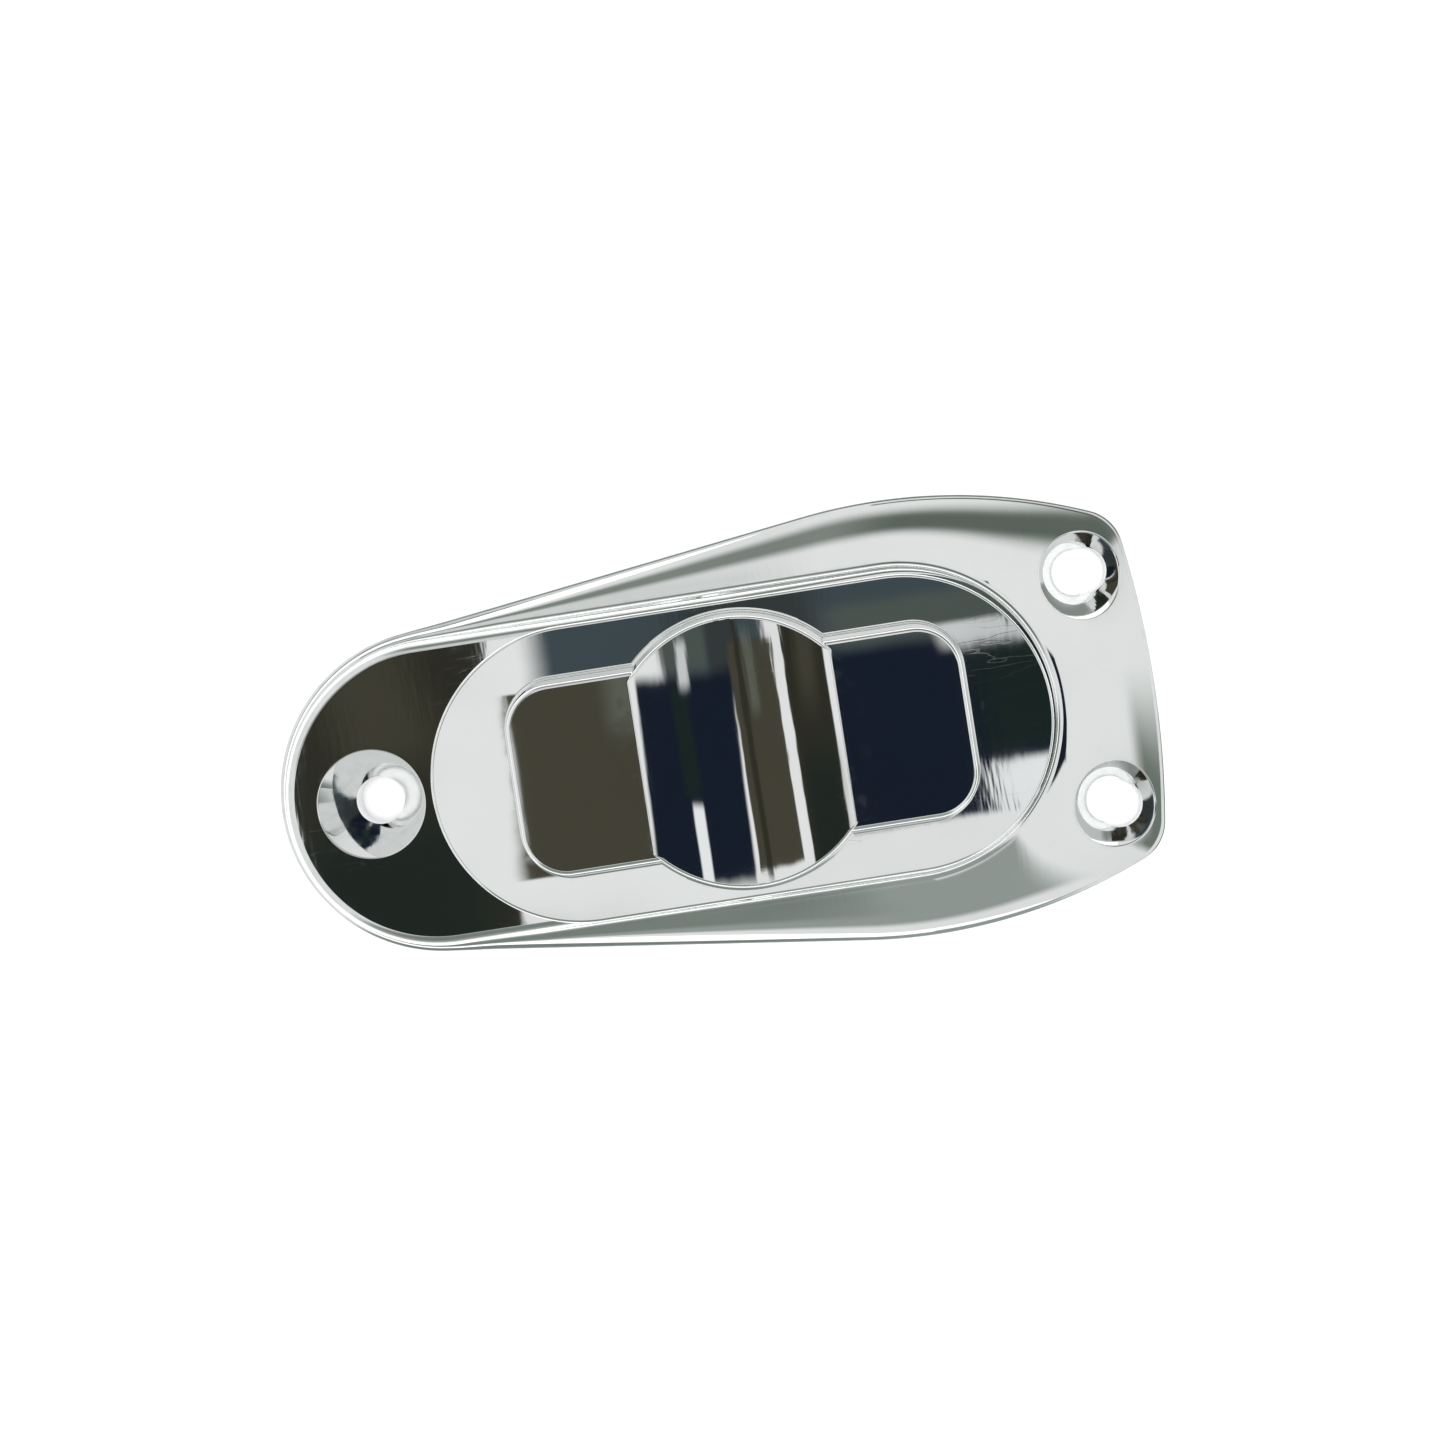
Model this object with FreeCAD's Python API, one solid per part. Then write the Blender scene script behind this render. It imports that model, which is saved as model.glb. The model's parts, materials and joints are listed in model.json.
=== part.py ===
"""Turn handle for a casement window: teardrop base, double-ended turn lever and the detent inside.

Frame: +X along the base towards its wide end, +Y across it, +Z up off the window frame.
The origin is the middle of the base's box, on the back plane. Millimetres.
"""
import FreeCAD, Part
import os
from math import atan2, cos, pi, radians, sin, sqrt, tan

V = FreeCAD.Vector
Z = V(0, 0, 1)

# ---- base casting: outline on the back plane ----
BASE_LENGTH = 102.0
NOSE_RADIUS = 18.7            # round narrow end
FLANK_ANGLE = 7.5             # degrees that each flank opens towards the wide end
FLANK_END_X = 13.5            # where the straight flank turns into the side arc
SIDE_ARC_RADIUS = 64.0
CORNER_RADIUS = 5.2
END_ARC_RADIUS = 110.0        # shallow arc across the wide end

# ---- base casting: heights and edges ----
PLATEAU_HEIGHT = 6.5
PLATEAU_HALF_WIDTH = 17.3
PLATEAU_NOSE_MARGIN = 2.0     # flange left in front of the plateau at the narrow end
PLATEAU_EDGE_RADIUS = 1.3
PLATEAU_DRAFT = 0.15
RIM_HEIGHT = 2.0
RIM_EDGE_RADIUS = 0.7
FOOT_RADIUS = 1.0             # hollow fillet where the flange meets the plateau
FLANGE_LOW = 3.0              # flange height at the plateau where the flange is narrowest
FLANGE_HIGH = 5.5             # and where it is widest
FLANGE_WIDE = 13.0            # flange width that reaches the full height
FLANGE_BULGE = 2.4            # exponent of the domed flange profile
FLANGE_LEAN = 0.25            # share of the profile that is a straight slope instead

# ---- mounting screw holes ----
SCREW_HOLE_RADIUS = 2.75
NOSE_SEAT_HEIGHT = 2.4        # straight hole below the countersink
END_SEAT_HEIGHT = 1.2
COUNTERSINK_HALF_ANGLE = 40.0
NOSE_HOLE_INSET = 11.9        # from the narrow end
END_HOLE_INSET = 6.3          # from the wide end
END_HOLE_SPACING = 27.2

# ---- chamber under the plateau, closed by the back cover ----
ROOF_THICKNESS = 1.6
CHAMBER_WALL = 2.0
CHAMBER_LEFT_X = -27.0
CHAMBER_RIGHT_X = 34.0
COVER_LEDGE = 1.2             # ledge round the chamber that the cover lies on
COVER_THICKNESS = 0.6
COVER_RECESS = 0.1            # cover sits this far behind the back plane
POST_RADIUS = 2.3
POST_SPACING_X = 41.0
POST_SPACING_Y = 19.0
COVER_SCREW_RADIUS = 1.0
COVER_SCREW_HEAD_RADIUS = 1.6
COVER_SCREW_LENGTH = 3.6
END_CORE_LENGTH = 7.0         # weight-saving pocket between the two end holes
END_CORE_WIDTH = 13.0
END_CORE_DEPTH = 2.4
END_CORE_INSET = 5.2
END_CORE_CORNER = 1.5

# ---- lever ----
LEVER_LENGTH = 68.5
LEVER_WIDTH = 32.7
LEVER_THICKNESS = 3.0
LEVER_EDGE_RADIUS = 0.4
LEVER_GAP = 0.2               # air between plateau and lever, filled by the slip washer
GRIP_LENGTH = 49.0
GRIP_WIDTH = 20.4
GRIP_HEIGHT = 3.5             # pads above the lever plate
GRIP_CORNER_RADIUS = 4.8
GRIP_EDGE_RADIUS = 0.8
GRIP_DRAFT = 0.6              # how far the grip's foot stands out beyond its top
HUB_RADIUS = 14.2
HUB_HALF_WIDTH = 10.8         # pivot axis to each ridge
DISH_DEPTH = 1.3              # ridge down to the bottom of the finger dish, level with the pads
RIDGE_HEIGHT = 4.8            # ridges above the lever plate
CORE_WALL = 1.8               # wall left over the hollows under the pads
PIVOT_X = 2.9

# ---- spindle and what runs on it ----
JOURNAL_RADIUS = 4.0
RUNNING_CLEARANCE = 0.03
STATIC_CLEARANCE = 0.02
SPINDLE_HEAD_SIDE = 7.0
SPINDLE_HEAD_HEIGHT = 2.6
SPINDLE_NECK = 0.6            # round neck of the spindle inside the lever, under its head
CAM_SQUARE_SIDE = 5.5         # square lower end of the spindle that drives the cam
CAM_SIDE = 12.0
CAM_CORNER_RADIUS = 1.5
CAM_THICKNESS = 1.0
PIVOT_BOSS_RADIUS = 8.2
PIVOT_BOSS_DEPTH = 0.9
BUSH_WALL = 1.55
SEAL_ROOM = 0.95
SEAL_SECTION_RADIUS = 0.43
SLIP_WASHER_RADIUS = 8.8
SLIP_WASHER_BORE = 5.6
THRUST_WASHER_RADIUS = 5.6
THRUST_WASHER_THICKNESS = 0.4
SPRING_WASHER_RADIUS = 4.4
SPRING_WASHER_SHEET = 0.22
SPRING_WASHER_BEND = 40.0
SPRING_WASHER_ROOM = 0.5
SCREW_RADIUS = 2.0
SCREW_HEAD_RADIUS = 3.9
SCREW_HEAD_THICKNESS = 1.0
SCREW_REACH = 6.6
SCREW_SOCKET_FLATS = 2.5
SCREW_SOCKET_DEPTH = 0.6
AXIAL_PLAY = 0.05

# ---- stop pin and its groove ----
STOP_PIN_RADIUS = 1.2
STOP_PIN_CIRCLE = 10.5
STOP_PIN_STAND = 1.35         # above the plateau
STOP_GROOVE_GAP = 0.2
LEVER_SWING = 90.0            # degrees each way

# ---- detent springs and their carrier ----
SPRING_THICKNESS = 0.4
SPRING_LENGTH = 29.0
CARRIER_LENGTH = 33.0
CARRIER_WIDTH = 23.0
CARRIER_WALL = 1.4
CARRIER_END = 3.4
CARRIER_CORNER = 1.2
SLOT_GAP = 0.05

# ---- wear pads under the lever's two ends ----
SPUR_PAD_RADIUS = 4.0
SPUR_PAD_THICKNESS = 1.5
SPUR_PAD_OFFSET = 26.0        # from the pivot axis
SPUR_PAD_RELIEF = 0.04

# ---- levels that follow from the sizes above ----
NOSE_X = -BASE_LENGTH / 2
END_X = BASE_LENGTH / 2
PLATEAU_LEFT_X = NOSE_X + PLATEAU_NOSE_MARGIN + PLATEAU_HALF_WIDTH
LEVER_END_RADIUS = LEVER_WIDTH / 2
LEVER_HALF_RUN = LEVER_LENGTH / 2 - LEVER_END_RADIUS
PLATEAU_RIGHT_X = PIVOT_X + LEVER_HALF_RUN
LEVER_BOTTOM = PLATEAU_HEIGHT + LEVER_GAP
LEVER_TOP = LEVER_BOTTOM + LEVER_THICKNESS
GRIP_TOP = LEVER_TOP + GRIP_HEIGHT
RIDGE_TOP = LEVER_TOP + RIDGE_HEIGHT
DISH_BOTTOM = RIDGE_TOP - DISH_DEPTH
ROOF_BOTTOM = PLATEAU_HEIGHT - ROOF_THICKNESS
BOSS_BOTTOM = ROOF_BOTTOM - PIVOT_BOSS_DEPTH
BUSH_TOP = PLATEAU_HEIGHT - SEAL_ROOM
BUSH_RADIUS = JOURNAL_RADIUS + RUNNING_CLEARANCE + BUSH_WALL
SEAL_SEAT_RADIUS = JOURNAL_RADIUS + 2 * SEAL_SECTION_RADIUS + 2 * RUNNING_CLEARANCE
CAM_TOP = BOSS_BOTTOM - AXIAL_PLAY
CAM_BOTTOM = CAM_TOP - CAM_THICKNESS
SPINDLE_BOTTOM = CAM_BOTTOM
THRUST_BOTTOM = CAM_BOTTOM - THRUST_WASHER_THICKNESS
SPRING_WASHER_BOTTOM = THRUST_BOTTOM - SPRING_WASHER_ROOM
SCREW_HEAD_BOTTOM = SPRING_WASHER_BOTTOM - SCREW_HEAD_THICKNESS
COVER_TOP = COVER_RECESS + COVER_THICKNESS
CHAMBER_HALF_WIDTH = PLATEAU_HALF_WIDTH - CHAMBER_WALL
NOSE_HOLE = V(NOSE_X + NOSE_HOLE_INSET, 0, 0)
END_HOLES = [V(END_X - END_HOLE_INSET, side * END_HOLE_SPACING / 2, 0) for side in (-1, 1)]
PIVOT = V(PIVOT_X, 0, 0)

# points taken along each stretch of half the outline: nose, flank, side arc, corner, end
NOSE_STEPS = 12
FLANK_STEPS = 8
SIDE_STEPS = 10
CORNER_STEPS = 7
END_STEPS = 6


# ---- shared shapes ----
def cylinder(radius, bottom, top, centre=V(0, 0, 0)):
    """Upright cylinder between two heights."""
    return Part.makeCylinder(radius, top - bottom, V(centre.x, centre.y, bottom), Z)


def ring(outer, inner, bottom, top, centre=V(0, 0, 0)):
    """Upright ring between two heights."""
    return cylinder(outer, bottom, top, centre).cut(cylinder(inner, bottom - 1, top + 1, centre))


def prism(wire, bottom, top):
    """Upright prism on a wire drawn at height zero."""
    face = Part.Face(wire)
    face.translate(V(0, 0, bottom))
    return face.extrude(V(0, 0, top - bottom))


def obround_wire(left_x, right_x, radius, z=0.0):
    """Two straight runs along X joined by half circles centred on left_x and right_x."""
    upper = Part.LineSegment(V(left_x, radius, z), V(right_x, radius, z))
    lower = Part.LineSegment(V(right_x, -radius, z), V(left_x, -radius, z))
    right = Part.Arc(V(right_x, radius, z), V(right_x + radius, 0, z), V(right_x, -radius, z))
    left = Part.Arc(V(left_x, -radius, z), V(left_x - radius, 0, z), V(left_x, radius, z))
    return Part.Wire([curve.toShape() for curve in (upper, right, lower, left)])


def rounded_rectangle(centre, length, width, corner, z=0.0):
    """Rectangle along X and Y with four rounded corners."""
    half_x = length / 2
    half_y = width / 2
    edges = []
    for quarter in range(4):
        turn = quarter * pi / 2
        sign_x = 1 if quarter in (0, 3) else -1
        sign_y = 1 if quarter in (0, 1) else -1
        middle = V(centre.x + sign_x * (half_x - corner), centre.y + sign_y * (half_y - corner), z)
        arc = [middle + V(corner * cos(turn + a), corner * sin(turn + a), 0) for a in (0, pi / 4, pi / 2)]
        if edges:
            edges.append(Part.makeLine(last, arc[0]))
        else:
            first = arc[0]
        edges.append(Part.Arc(arc[0], arc[1], arc[2]).toShape())
        last = arc[2]
    edges.append(Part.makeLine(last, first))
    return Part.Wire(edges)


def write(name, shape):
    """Check one node and write its STEP file."""
    if not shape.isValid():
        raise ValueError(name + " is not a valid solid")
    shape.exportStep("parts/" + name + ".step")
    print(name, len(shape.Solids), "solid(s)", round(shape.Volume, 2), "mm3")


# ---- base casting ----
def tangent_circle(centre_a, radius_a, centre_b, radius_b, radius):
    """Centre of a circle inside two larger circles and touching both, on the +Y side."""
    reach_a = radius_a - radius
    reach_b = radius_b - radius
    apart = centre_b - centre_a
    along = (apart.Length ** 2 + reach_a ** 2 - reach_b ** 2) / (2 * apart.Length)
    across = sqrt(reach_a ** 2 - along ** 2)
    unit = apart * (1 / apart.Length)
    normal = V(-unit.y, unit.x, 0)
    candidates = [centre_a + unit * along + normal * (side * across) for side in (-1, 1)]
    return max(candidates, key=lambda point: point.x)


def arc_points(centre, radius, start, end, steps):
    """Points along an arc from one angle towards another, the last one left out."""
    angles = [start + (end - start) * i / steps for i in range(steps)]
    return [centre + V(radius * cos(a), radius * sin(a), 0) for a in angles]


def outline_points():
    """Outline of the base, clockwise from the tip of the nose: nose arc, straight flank,
    side arc, corner arc and end arc for the +Y half, then the same mirrored."""
    slope = radians(FLANK_ANGLE)
    nose = V(NOSE_X + NOSE_RADIUS, 0, 0)
    flank_start = nose + V(-sin(slope), cos(slope), 0) * NOSE_RADIUS
    flank_run = (FLANK_END_X - flank_start.x) / cos(slope)
    flank_end = flank_start + V(cos(slope), sin(slope), 0) * flank_run
    side = flank_end + V(sin(slope), -cos(slope), 0) * SIDE_ARC_RADIUS
    end = V(END_X - END_ARC_RADIUS, 0, 0)
    corner = tangent_circle(end, END_ARC_RADIUS, side, SIDE_ARC_RADIUS, CORNER_RADIUS)
    side_end = atan2(corner.y - side.y, corner.x - side.x)
    corner_end = atan2(corner.y - end.y, corner.x - end.x)
    flank = [flank_start + (flank_end - flank_start) * (i / FLANK_STEPS) for i in range(FLANK_STEPS)]
    half = arc_points(nose, NOSE_RADIUS, pi, pi / 2 + slope, NOSE_STEPS)
    half += flank
    half += arc_points(side, SIDE_ARC_RADIUS, pi / 2 + slope, side_end, SIDE_STEPS)
    half += arc_points(corner, CORNER_RADIUS, side_end, corner_end, CORNER_STEPS)
    half += arc_points(end, END_ARC_RADIUS, corner_end, 0, END_STEPS)
    half.append(V(END_X, 0, 0))
    mirrored = [V(p.x, -p.y, 0) for p in reversed(half[1:-1])]
    return half + mirrored


def smooth(value):
    """Smooth step from 0 to 1."""
    value = min(1.0, max(0.0, value))
    return value * value * (3 - 2 * value)


def skin_profile(reach):
    """Outer skin along one ray that leaves the plateau's centre line square and reaches the
    outline at the distance reach: (distance, height) pairs from the back plane up to the plateau."""
    flange = reach - PLATEAU_HALF_WIDTH
    edge = min(RIM_EDGE_RADIUS, 0.35 * flange)
    foot = min(FOOT_RADIUS, 0.35 * flange)
    height = FLANGE_LOW + (FLANGE_HIGH - FLANGE_LOW) * smooth(flange / FLANGE_WIDE)
    pairs = [(reach, 0.0)]
    for angle in (0, 30, 60, 90):
        a = radians(angle)
        pairs.append((reach - edge * (1 - cos(a)), RIM_HEIGHT - edge * (1 - sin(a))))
    run = flange - edge - foot
    for share in (0.12, 0.27, 0.45, 0.68, 1.0):
        rise = (1 - FLANGE_LEAN) * (1 - (1 - share) ** FLANGE_BULGE) + FLANGE_LEAN * share
        pairs.append((reach - edge - run * share, RIM_HEIGHT + (height - RIM_HEIGHT) * rise))
    for angle in (30, 60, 90):
        a = radians(angle)
        pairs.append((PLATEAU_HALF_WIDTH + foot * (1 - sin(a)), height + foot * (1 - cos(a))))
    top_radius = min(PLATEAU_EDGE_RADIUS, PLATEAU_HEIGHT - height - foot - 0.1)
    for angle in (0, 30, 60, 90):
        a = radians(angle)
        inset = PLATEAU_DRAFT + top_radius * (1 - cos(a))
        pairs.append((PLATEAU_HALF_WIDTH - inset, PLATEAU_HEIGHT - top_radius * (1 - sin(a))))
    return pairs


def base_skin():
    """Solid outer shape: closed curves through the same step of every ray's profile, joined in turn."""
    outline = outline_points()
    rays = []
    for point in outline:
        foot = V(min(PLATEAU_RIGHT_X, max(PLATEAU_LEFT_X, point.x)), 0, 0)
        reach = (point - foot).Length
        rays.append((foot, (point - foot) * (1 / reach), skin_profile(reach)))
    spacing = [0.0]
    for i, point in enumerate(outline):
        spacing.append(spacing[-1] + (outline[(i + 1) % len(outline)] - point).Length)
    wires = []
    for step in range(len(rays[0][2])):
        points = [foot + way * pairs[step][0] + Z * pairs[step][1] for foot, way, pairs in rays]
        curve = Part.BSplineCurve()
        curve.interpolate(Points=points, PeriodicFlag=True, Parameters=spacing)
        wires.append(Part.Wire([curve.toShape()]))
    return Part.makeLoft(wires, True, True)


def screw_hole(centre, seat):
    """Straight hole up to the height seat, with a countersink that opens upwards."""
    height = PLATEAU_HEIGHT + 1 - seat
    mouth = SCREW_HOLE_RADIUS + height * tan(radians(COUNTERSINK_HALF_ANGLE))
    cone = Part.makeCone(SCREW_HOLE_RADIUS, mouth, height, V(centre.x, centre.y, seat), Z)
    return cylinder(SCREW_HOLE_RADIUS, -1, seat + 0.1, centre).fuse(cone)


def post_centres():
    """The four posts that take the cover screws."""
    half_x = POST_SPACING_X / 2
    half_y = POST_SPACING_Y / 2
    return [PIVOT + V(sx * half_x, sy * half_y, 0) for sx in (-1, 1) for sy in (-1, 1)]


def chamber():
    """Hollow under the plateau with its cover rebate, less the posts and the pivot boss."""
    left = CHAMBER_LEFT_X + CHAMBER_HALF_WIDTH
    right = CHAMBER_RIGHT_X - CHAMBER_HALF_WIDTH
    hollow = prism(obround_wire(left, right, CHAMBER_HALF_WIDTH), COVER_TOP - 0.1, ROOF_BOTTOM)
    for centre in post_centres():
        hollow = hollow.cut(cylinder(POST_RADIUS, -1, ROOF_BOTTOM + 1, centre))
    hollow = hollow.cut(cylinder(PIVOT_BOSS_RADIUS, BOSS_BOTTOM, ROOF_BOTTOM + 1, PIVOT))
    rebate = prism(obround_wire(left, right, CHAMBER_HALF_WIDTH + COVER_LEDGE), -1, COVER_TOP)
    return hollow.fuse(rebate)


def base_casting():
    """Flanged teardrop casting with its plateau, screw holes, chamber and pivot bore."""
    body = base_skin().cut(chamber())
    holes = [screw_hole(NOSE_HOLE, NOSE_SEAT_HEIGHT)]
    holes += [screw_hole(centre, END_SEAT_HEIGHT) for centre in END_HOLES]
    body = body.cut(Part.makeCompound(holes))
    bush_bore = cylinder(BUSH_RADIUS + STATIC_CLEARANCE, BOSS_BOTTOM - 1, BUSH_TOP, PIVOT)
    seal_bore = cylinder(SEAL_SEAT_RADIUS, BUSH_TOP - 0.1, PLATEAU_HEIGHT + 1, PIVOT)
    body = body.cut(bush_bore).cut(seal_bore)
    stop_hole = cylinder(STOP_PIN_RADIUS, ROOF_BOTTOM - 1, PLATEAU_HEIGHT + 1, stop_pin_centre())
    body = body.cut(stop_hole)
    pilots = [cylinder(COVER_SCREW_RADIUS, -1, cover_screw_tip() + 0.2, c) for c in post_centres()]
    body = body.cut(Part.makeCompound(pilots))
    core_centre = V(END_X - END_CORE_INSET - END_CORE_LENGTH / 2, 0, 0)
    core = rounded_rectangle(core_centre, END_CORE_LENGTH, END_CORE_WIDTH, END_CORE_CORNER)
    return body.cut(prism(core, -1, END_CORE_DEPTH)).removeSplitter()


# ---- lever ----
def lever_plate():
    """Obround plate with a softened upper edge."""
    wire = obround_wire(PIVOT_X - LEVER_HALF_RUN, PIVOT_X + LEVER_HALF_RUN, LEVER_END_RADIUS)
    plate = prism(wire, LEVER_BOTTOM, LEVER_TOP)
    upper = [e for e in plate.Edges if e.BoundBox.ZMin > LEVER_TOP - 0.01]
    return plate.makeFillet(LEVER_EDGE_RADIUS, upper)


def grip_pads():
    """Long rounded block with leaning walls and a softened upper edge: a pad each side of the hub."""
    sunk = LEVER_THICKNESS / 2
    spread = 2 * GRIP_DRAFT * (GRIP_HEIGHT + sunk) / GRIP_HEIGHT
    low = rounded_rectangle(PIVOT, GRIP_LENGTH + spread, GRIP_WIDTH + spread,
                            GRIP_CORNER_RADIUS + spread / 2, LEVER_TOP - sunk)
    high = rounded_rectangle(PIVOT, GRIP_LENGTH, GRIP_WIDTH, GRIP_CORNER_RADIUS, GRIP_TOP)
    block = Part.makeLoft([low, high], True, True)
    upper = [e for e in block.Edges if e.BoundBox.ZMin > GRIP_TOP - 0.01]
    return block.makeFillet(GRIP_EDGE_RADIUS, upper)


def hub_wire(radius, half_width, z):
    """Circle cut off square by two flats, centred on the pivot."""
    half_chord = sqrt(radius ** 2 - half_width ** 2)
    right_low = V(PIVOT_X + half_width, -half_chord, z)
    right_high = V(PIVOT_X + half_width, half_chord, z)
    left_low = V(PIVOT_X - half_width, -half_chord, z)
    left_high = V(PIVOT_X - half_width, half_chord, z)
    return Part.Wire([
        Part.makeLine(right_low, right_high),
        Part.Arc(right_high, V(PIVOT_X, radius, z), left_high).toShape(),
        Part.makeLine(left_high, left_low),
        Part.Arc(left_low, V(PIVOT_X, -radius, z), right_low).toShape(),
    ])


def finger_dish():
    """Cylinder along Y that hollows the top of the hub and leaves its two ridges."""
    dish_radius = (HUB_HALF_WIDTH ** 2 + DISH_DEPTH ** 2) / (2 * DISH_DEPTH)
    axis_start = V(PIVOT_X, -2 * HUB_RADIUS, DISH_BOTTOM + dish_radius)
    return Part.makeCylinder(dish_radius, 4 * HUB_RADIUS, axis_start, V(0, 1, 0))


def hub():
    """Leaning-walled hub between the pads, up to the ridges' height."""
    sunk = LEVER_THICKNESS / 2
    spread = GRIP_DRAFT * (RIDGE_HEIGHT + sunk) / GRIP_HEIGHT
    low = hub_wire(HUB_RADIUS + spread, HUB_HALF_WIDTH + spread, LEVER_TOP - sunk)
    high = hub_wire(HUB_RADIUS, HUB_HALF_WIDTH, RIDGE_TOP)
    return Part.makeLoft([low, high], True, True)


def pad_hollow(side):
    """Cored hollow under one pad."""
    inner = HUB_HALF_WIDTH + CORE_WALL
    outer = GRIP_LENGTH / 2 - CORE_WALL
    centre = PIVOT + V(side * (inner + outer) / 2, 0, 0)
    wire = rounded_rectangle(centre, outer - inner, GRIP_WIDTH - 2 * CORE_WALL, CORE_WALL)
    return prism(wire, LEVER_BOTTOM - 1, GRIP_TOP - CORE_WALL)


def stop_groove():
    """Groove in the lever's underside that the stop pin runs in, with a round end at each limit."""
    half_width = STOP_PIN_RADIUS + STOP_GROOVE_GAP
    top = PLATEAU_HEIGHT + STOP_PIN_STAND + STOP_GROOVE_GAP
    low = LEVER_BOTTOM - 1
    groove = ring(STOP_PIN_CIRCLE + half_width, STOP_PIN_CIRCLE - half_width, low, top, PIVOT)
    start = V(PIVOT_X, -2 * HUB_RADIUS, low)
    keep = Part.makeBox(2 * HUB_RADIUS, 4 * HUB_RADIUS, top - low, start)
    groove = groove.cut(keep)
    for side in (-1, 1):
        swing = radians(side * LEVER_SWING)
        end = PIVOT + V(-STOP_PIN_CIRCLE * cos(swing), STOP_PIN_CIRCLE * sin(swing), 0)
        groove = groove.fuse(cylinder(half_width, low, top, end))
    return groove


def handle_casting():
    """Lever plate, grip pads and hub in one casting, hollowed and grooved from below."""
    body = lever_plate().fuse([grip_pads(), hub()]).cut(finger_dish()).removeSplitter()
    for side in (-1, 1):
        body = body.cut(pad_hollow(side))
        pad_seat = PIVOT + V(side * SPUR_PAD_OFFSET, 0, 0)
        radius = SPUR_PAD_RADIUS + STATIC_CLEARANCE
        body = body.cut(cylinder(radius, LEVER_BOTTOM - 1, LEVER_BOTTOM + SPUR_PAD_THICKNESS, pad_seat))
    body = body.cut(stop_groove())
    return body.cut(spindle_outside(STATIC_CLEARANCE)).removeSplitter()


# ---- spindle and what runs on it ----
def square_prism(side, bottom, top):
    """Square bar on the pivot axis."""
    return Part.makeBox(side, side, top - bottom, V(PIVOT_X - side / 2, -side / 2, bottom))


def spindle_outside(gap=0.0):
    """Square head held in the lever, round journal and square lower end, all larger by a gap."""
    neck_top = LEVER_BOTTOM + SPINDLE_NECK
    head = square_prism(SPINDLE_HEAD_SIDE + 2 * gap, neck_top - gap, neck_top + SPINDLE_HEAD_HEIGHT + gap)
    journal = cylinder(JOURNAL_RADIUS + gap, CAM_TOP, neck_top, PIVOT)
    drive = square_prism(CAM_SQUARE_SIDE + 2 * gap, SPINDLE_BOTTOM, CAM_TOP)
    return head.fuse([journal, drive])


def spindle():
    """Spindle with its threaded blind hole from below."""
    hole = cylinder(SCREW_RADIUS + STATIC_CLEARANCE, SPINDLE_BOTTOM - 1, SPINDLE_BOTTOM + SCREW_REACH, PIVOT)
    return spindle_outside().cut(hole).removeSplitter()


def handle_screw():
    """Low-head screw that holds the stack on the spindle, with a hexagon socket."""
    head_top = SCREW_HEAD_BOTTOM + SCREW_HEAD_THICKNESS
    head = cylinder(SCREW_HEAD_RADIUS, SCREW_HEAD_BOTTOM, head_top, PIVOT)
    shank = cylinder(SCREW_RADIUS, head_top, SPINDLE_BOTTOM + SCREW_REACH - 0.3, PIVOT)
    corner = SCREW_SOCKET_FLATS / sqrt(3)
    points = [PIVOT + V(corner * cos(i * pi / 3), corner * sin(i * pi / 3), 0) for i in range(7)]
    socket = prism(Part.makePolygon(points), SCREW_HEAD_BOTTOM - 1, SCREW_HEAD_BOTTOM + SCREW_SOCKET_DEPTH)
    return head.fuse(shank).cut(socket).removeSplitter()


def pivot_bush():
    """Plain bush pressed into the pivot bore from below."""
    return ring(BUSH_RADIUS, JOURNAL_RADIUS + RUNNING_CLEARANCE, BOSS_BOTTOM, BUSH_TOP, PIVOT)


def spindle_seal():
    """O-ring above the bush."""
    centre = V(PIVOT_X, 0, BUSH_TOP + SEAL_ROOM / 2)
    return Part.makeTorus(JOURNAL_RADIUS + RUNNING_CLEARANCE + SEAL_SECTION_RADIUS, SEAL_SECTION_RADIUS, centre, Z)


def slip_washer():
    """Thin plastic washer that the lever slides on."""
    return ring(SLIP_WASHER_RADIUS, SLIP_WASHER_BORE, PLATEAU_HEIGHT, LEVER_BOTTOM - STATIC_CLEARANCE, PIVOT)


def detent_cam():
    """Square plate with rounded corners, driven by the spindle's square end."""
    plate = prism(rounded_rectangle(PIVOT, CAM_SIDE, CAM_SIDE, CAM_CORNER_RADIUS), CAM_BOTTOM, CAM_TOP)
    return plate.cut(square_prism(CAM_SQUARE_SIDE + 2 * STATIC_CLEARANCE, CAM_BOTTOM - 1, CAM_TOP + 1))


def thrust_washer():
    """Flat washer under the cam."""
    return ring(THRUST_WASHER_RADIUS, SCREW_RADIUS + STATIC_CLEARANCE, THRUST_BOTTOM, CAM_BOTTOM, PIVOT)


def spring_washer():
    """Curved spring washer: a ring cut out of a thin sheet bent round an axis along Y."""
    crown = SPRING_WASHER_BOTTOM + SPRING_WASHER_ROOM
    axis_start = V(PIVOT_X, -SPRING_WASHER_BEND, crown - SPRING_WASHER_BEND)
    outer = Part.makeCylinder(SPRING_WASHER_BEND, 2 * SPRING_WASHER_BEND, axis_start, V(0, 1, 0))
    inner = Part.makeCylinder(SPRING_WASHER_BEND - SPRING_WASHER_SHEET, 2 * SPRING_WASHER_BEND,
                              axis_start, V(0, 1, 0))
    blank = ring(SPRING_WASHER_RADIUS, SCREW_RADIUS + 2 * STATIC_CLEARANCE,
                 SPRING_WASHER_BOTTOM - 1, crown + 1, PIVOT)
    return blank.common(outer.cut(inner))


def stop_pin_centre():
    """Place of the stop pin: on the nose side of the pivot, on the centre line."""
    return PIVOT + V(-STOP_PIN_CIRCLE, 0, 0)


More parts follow.
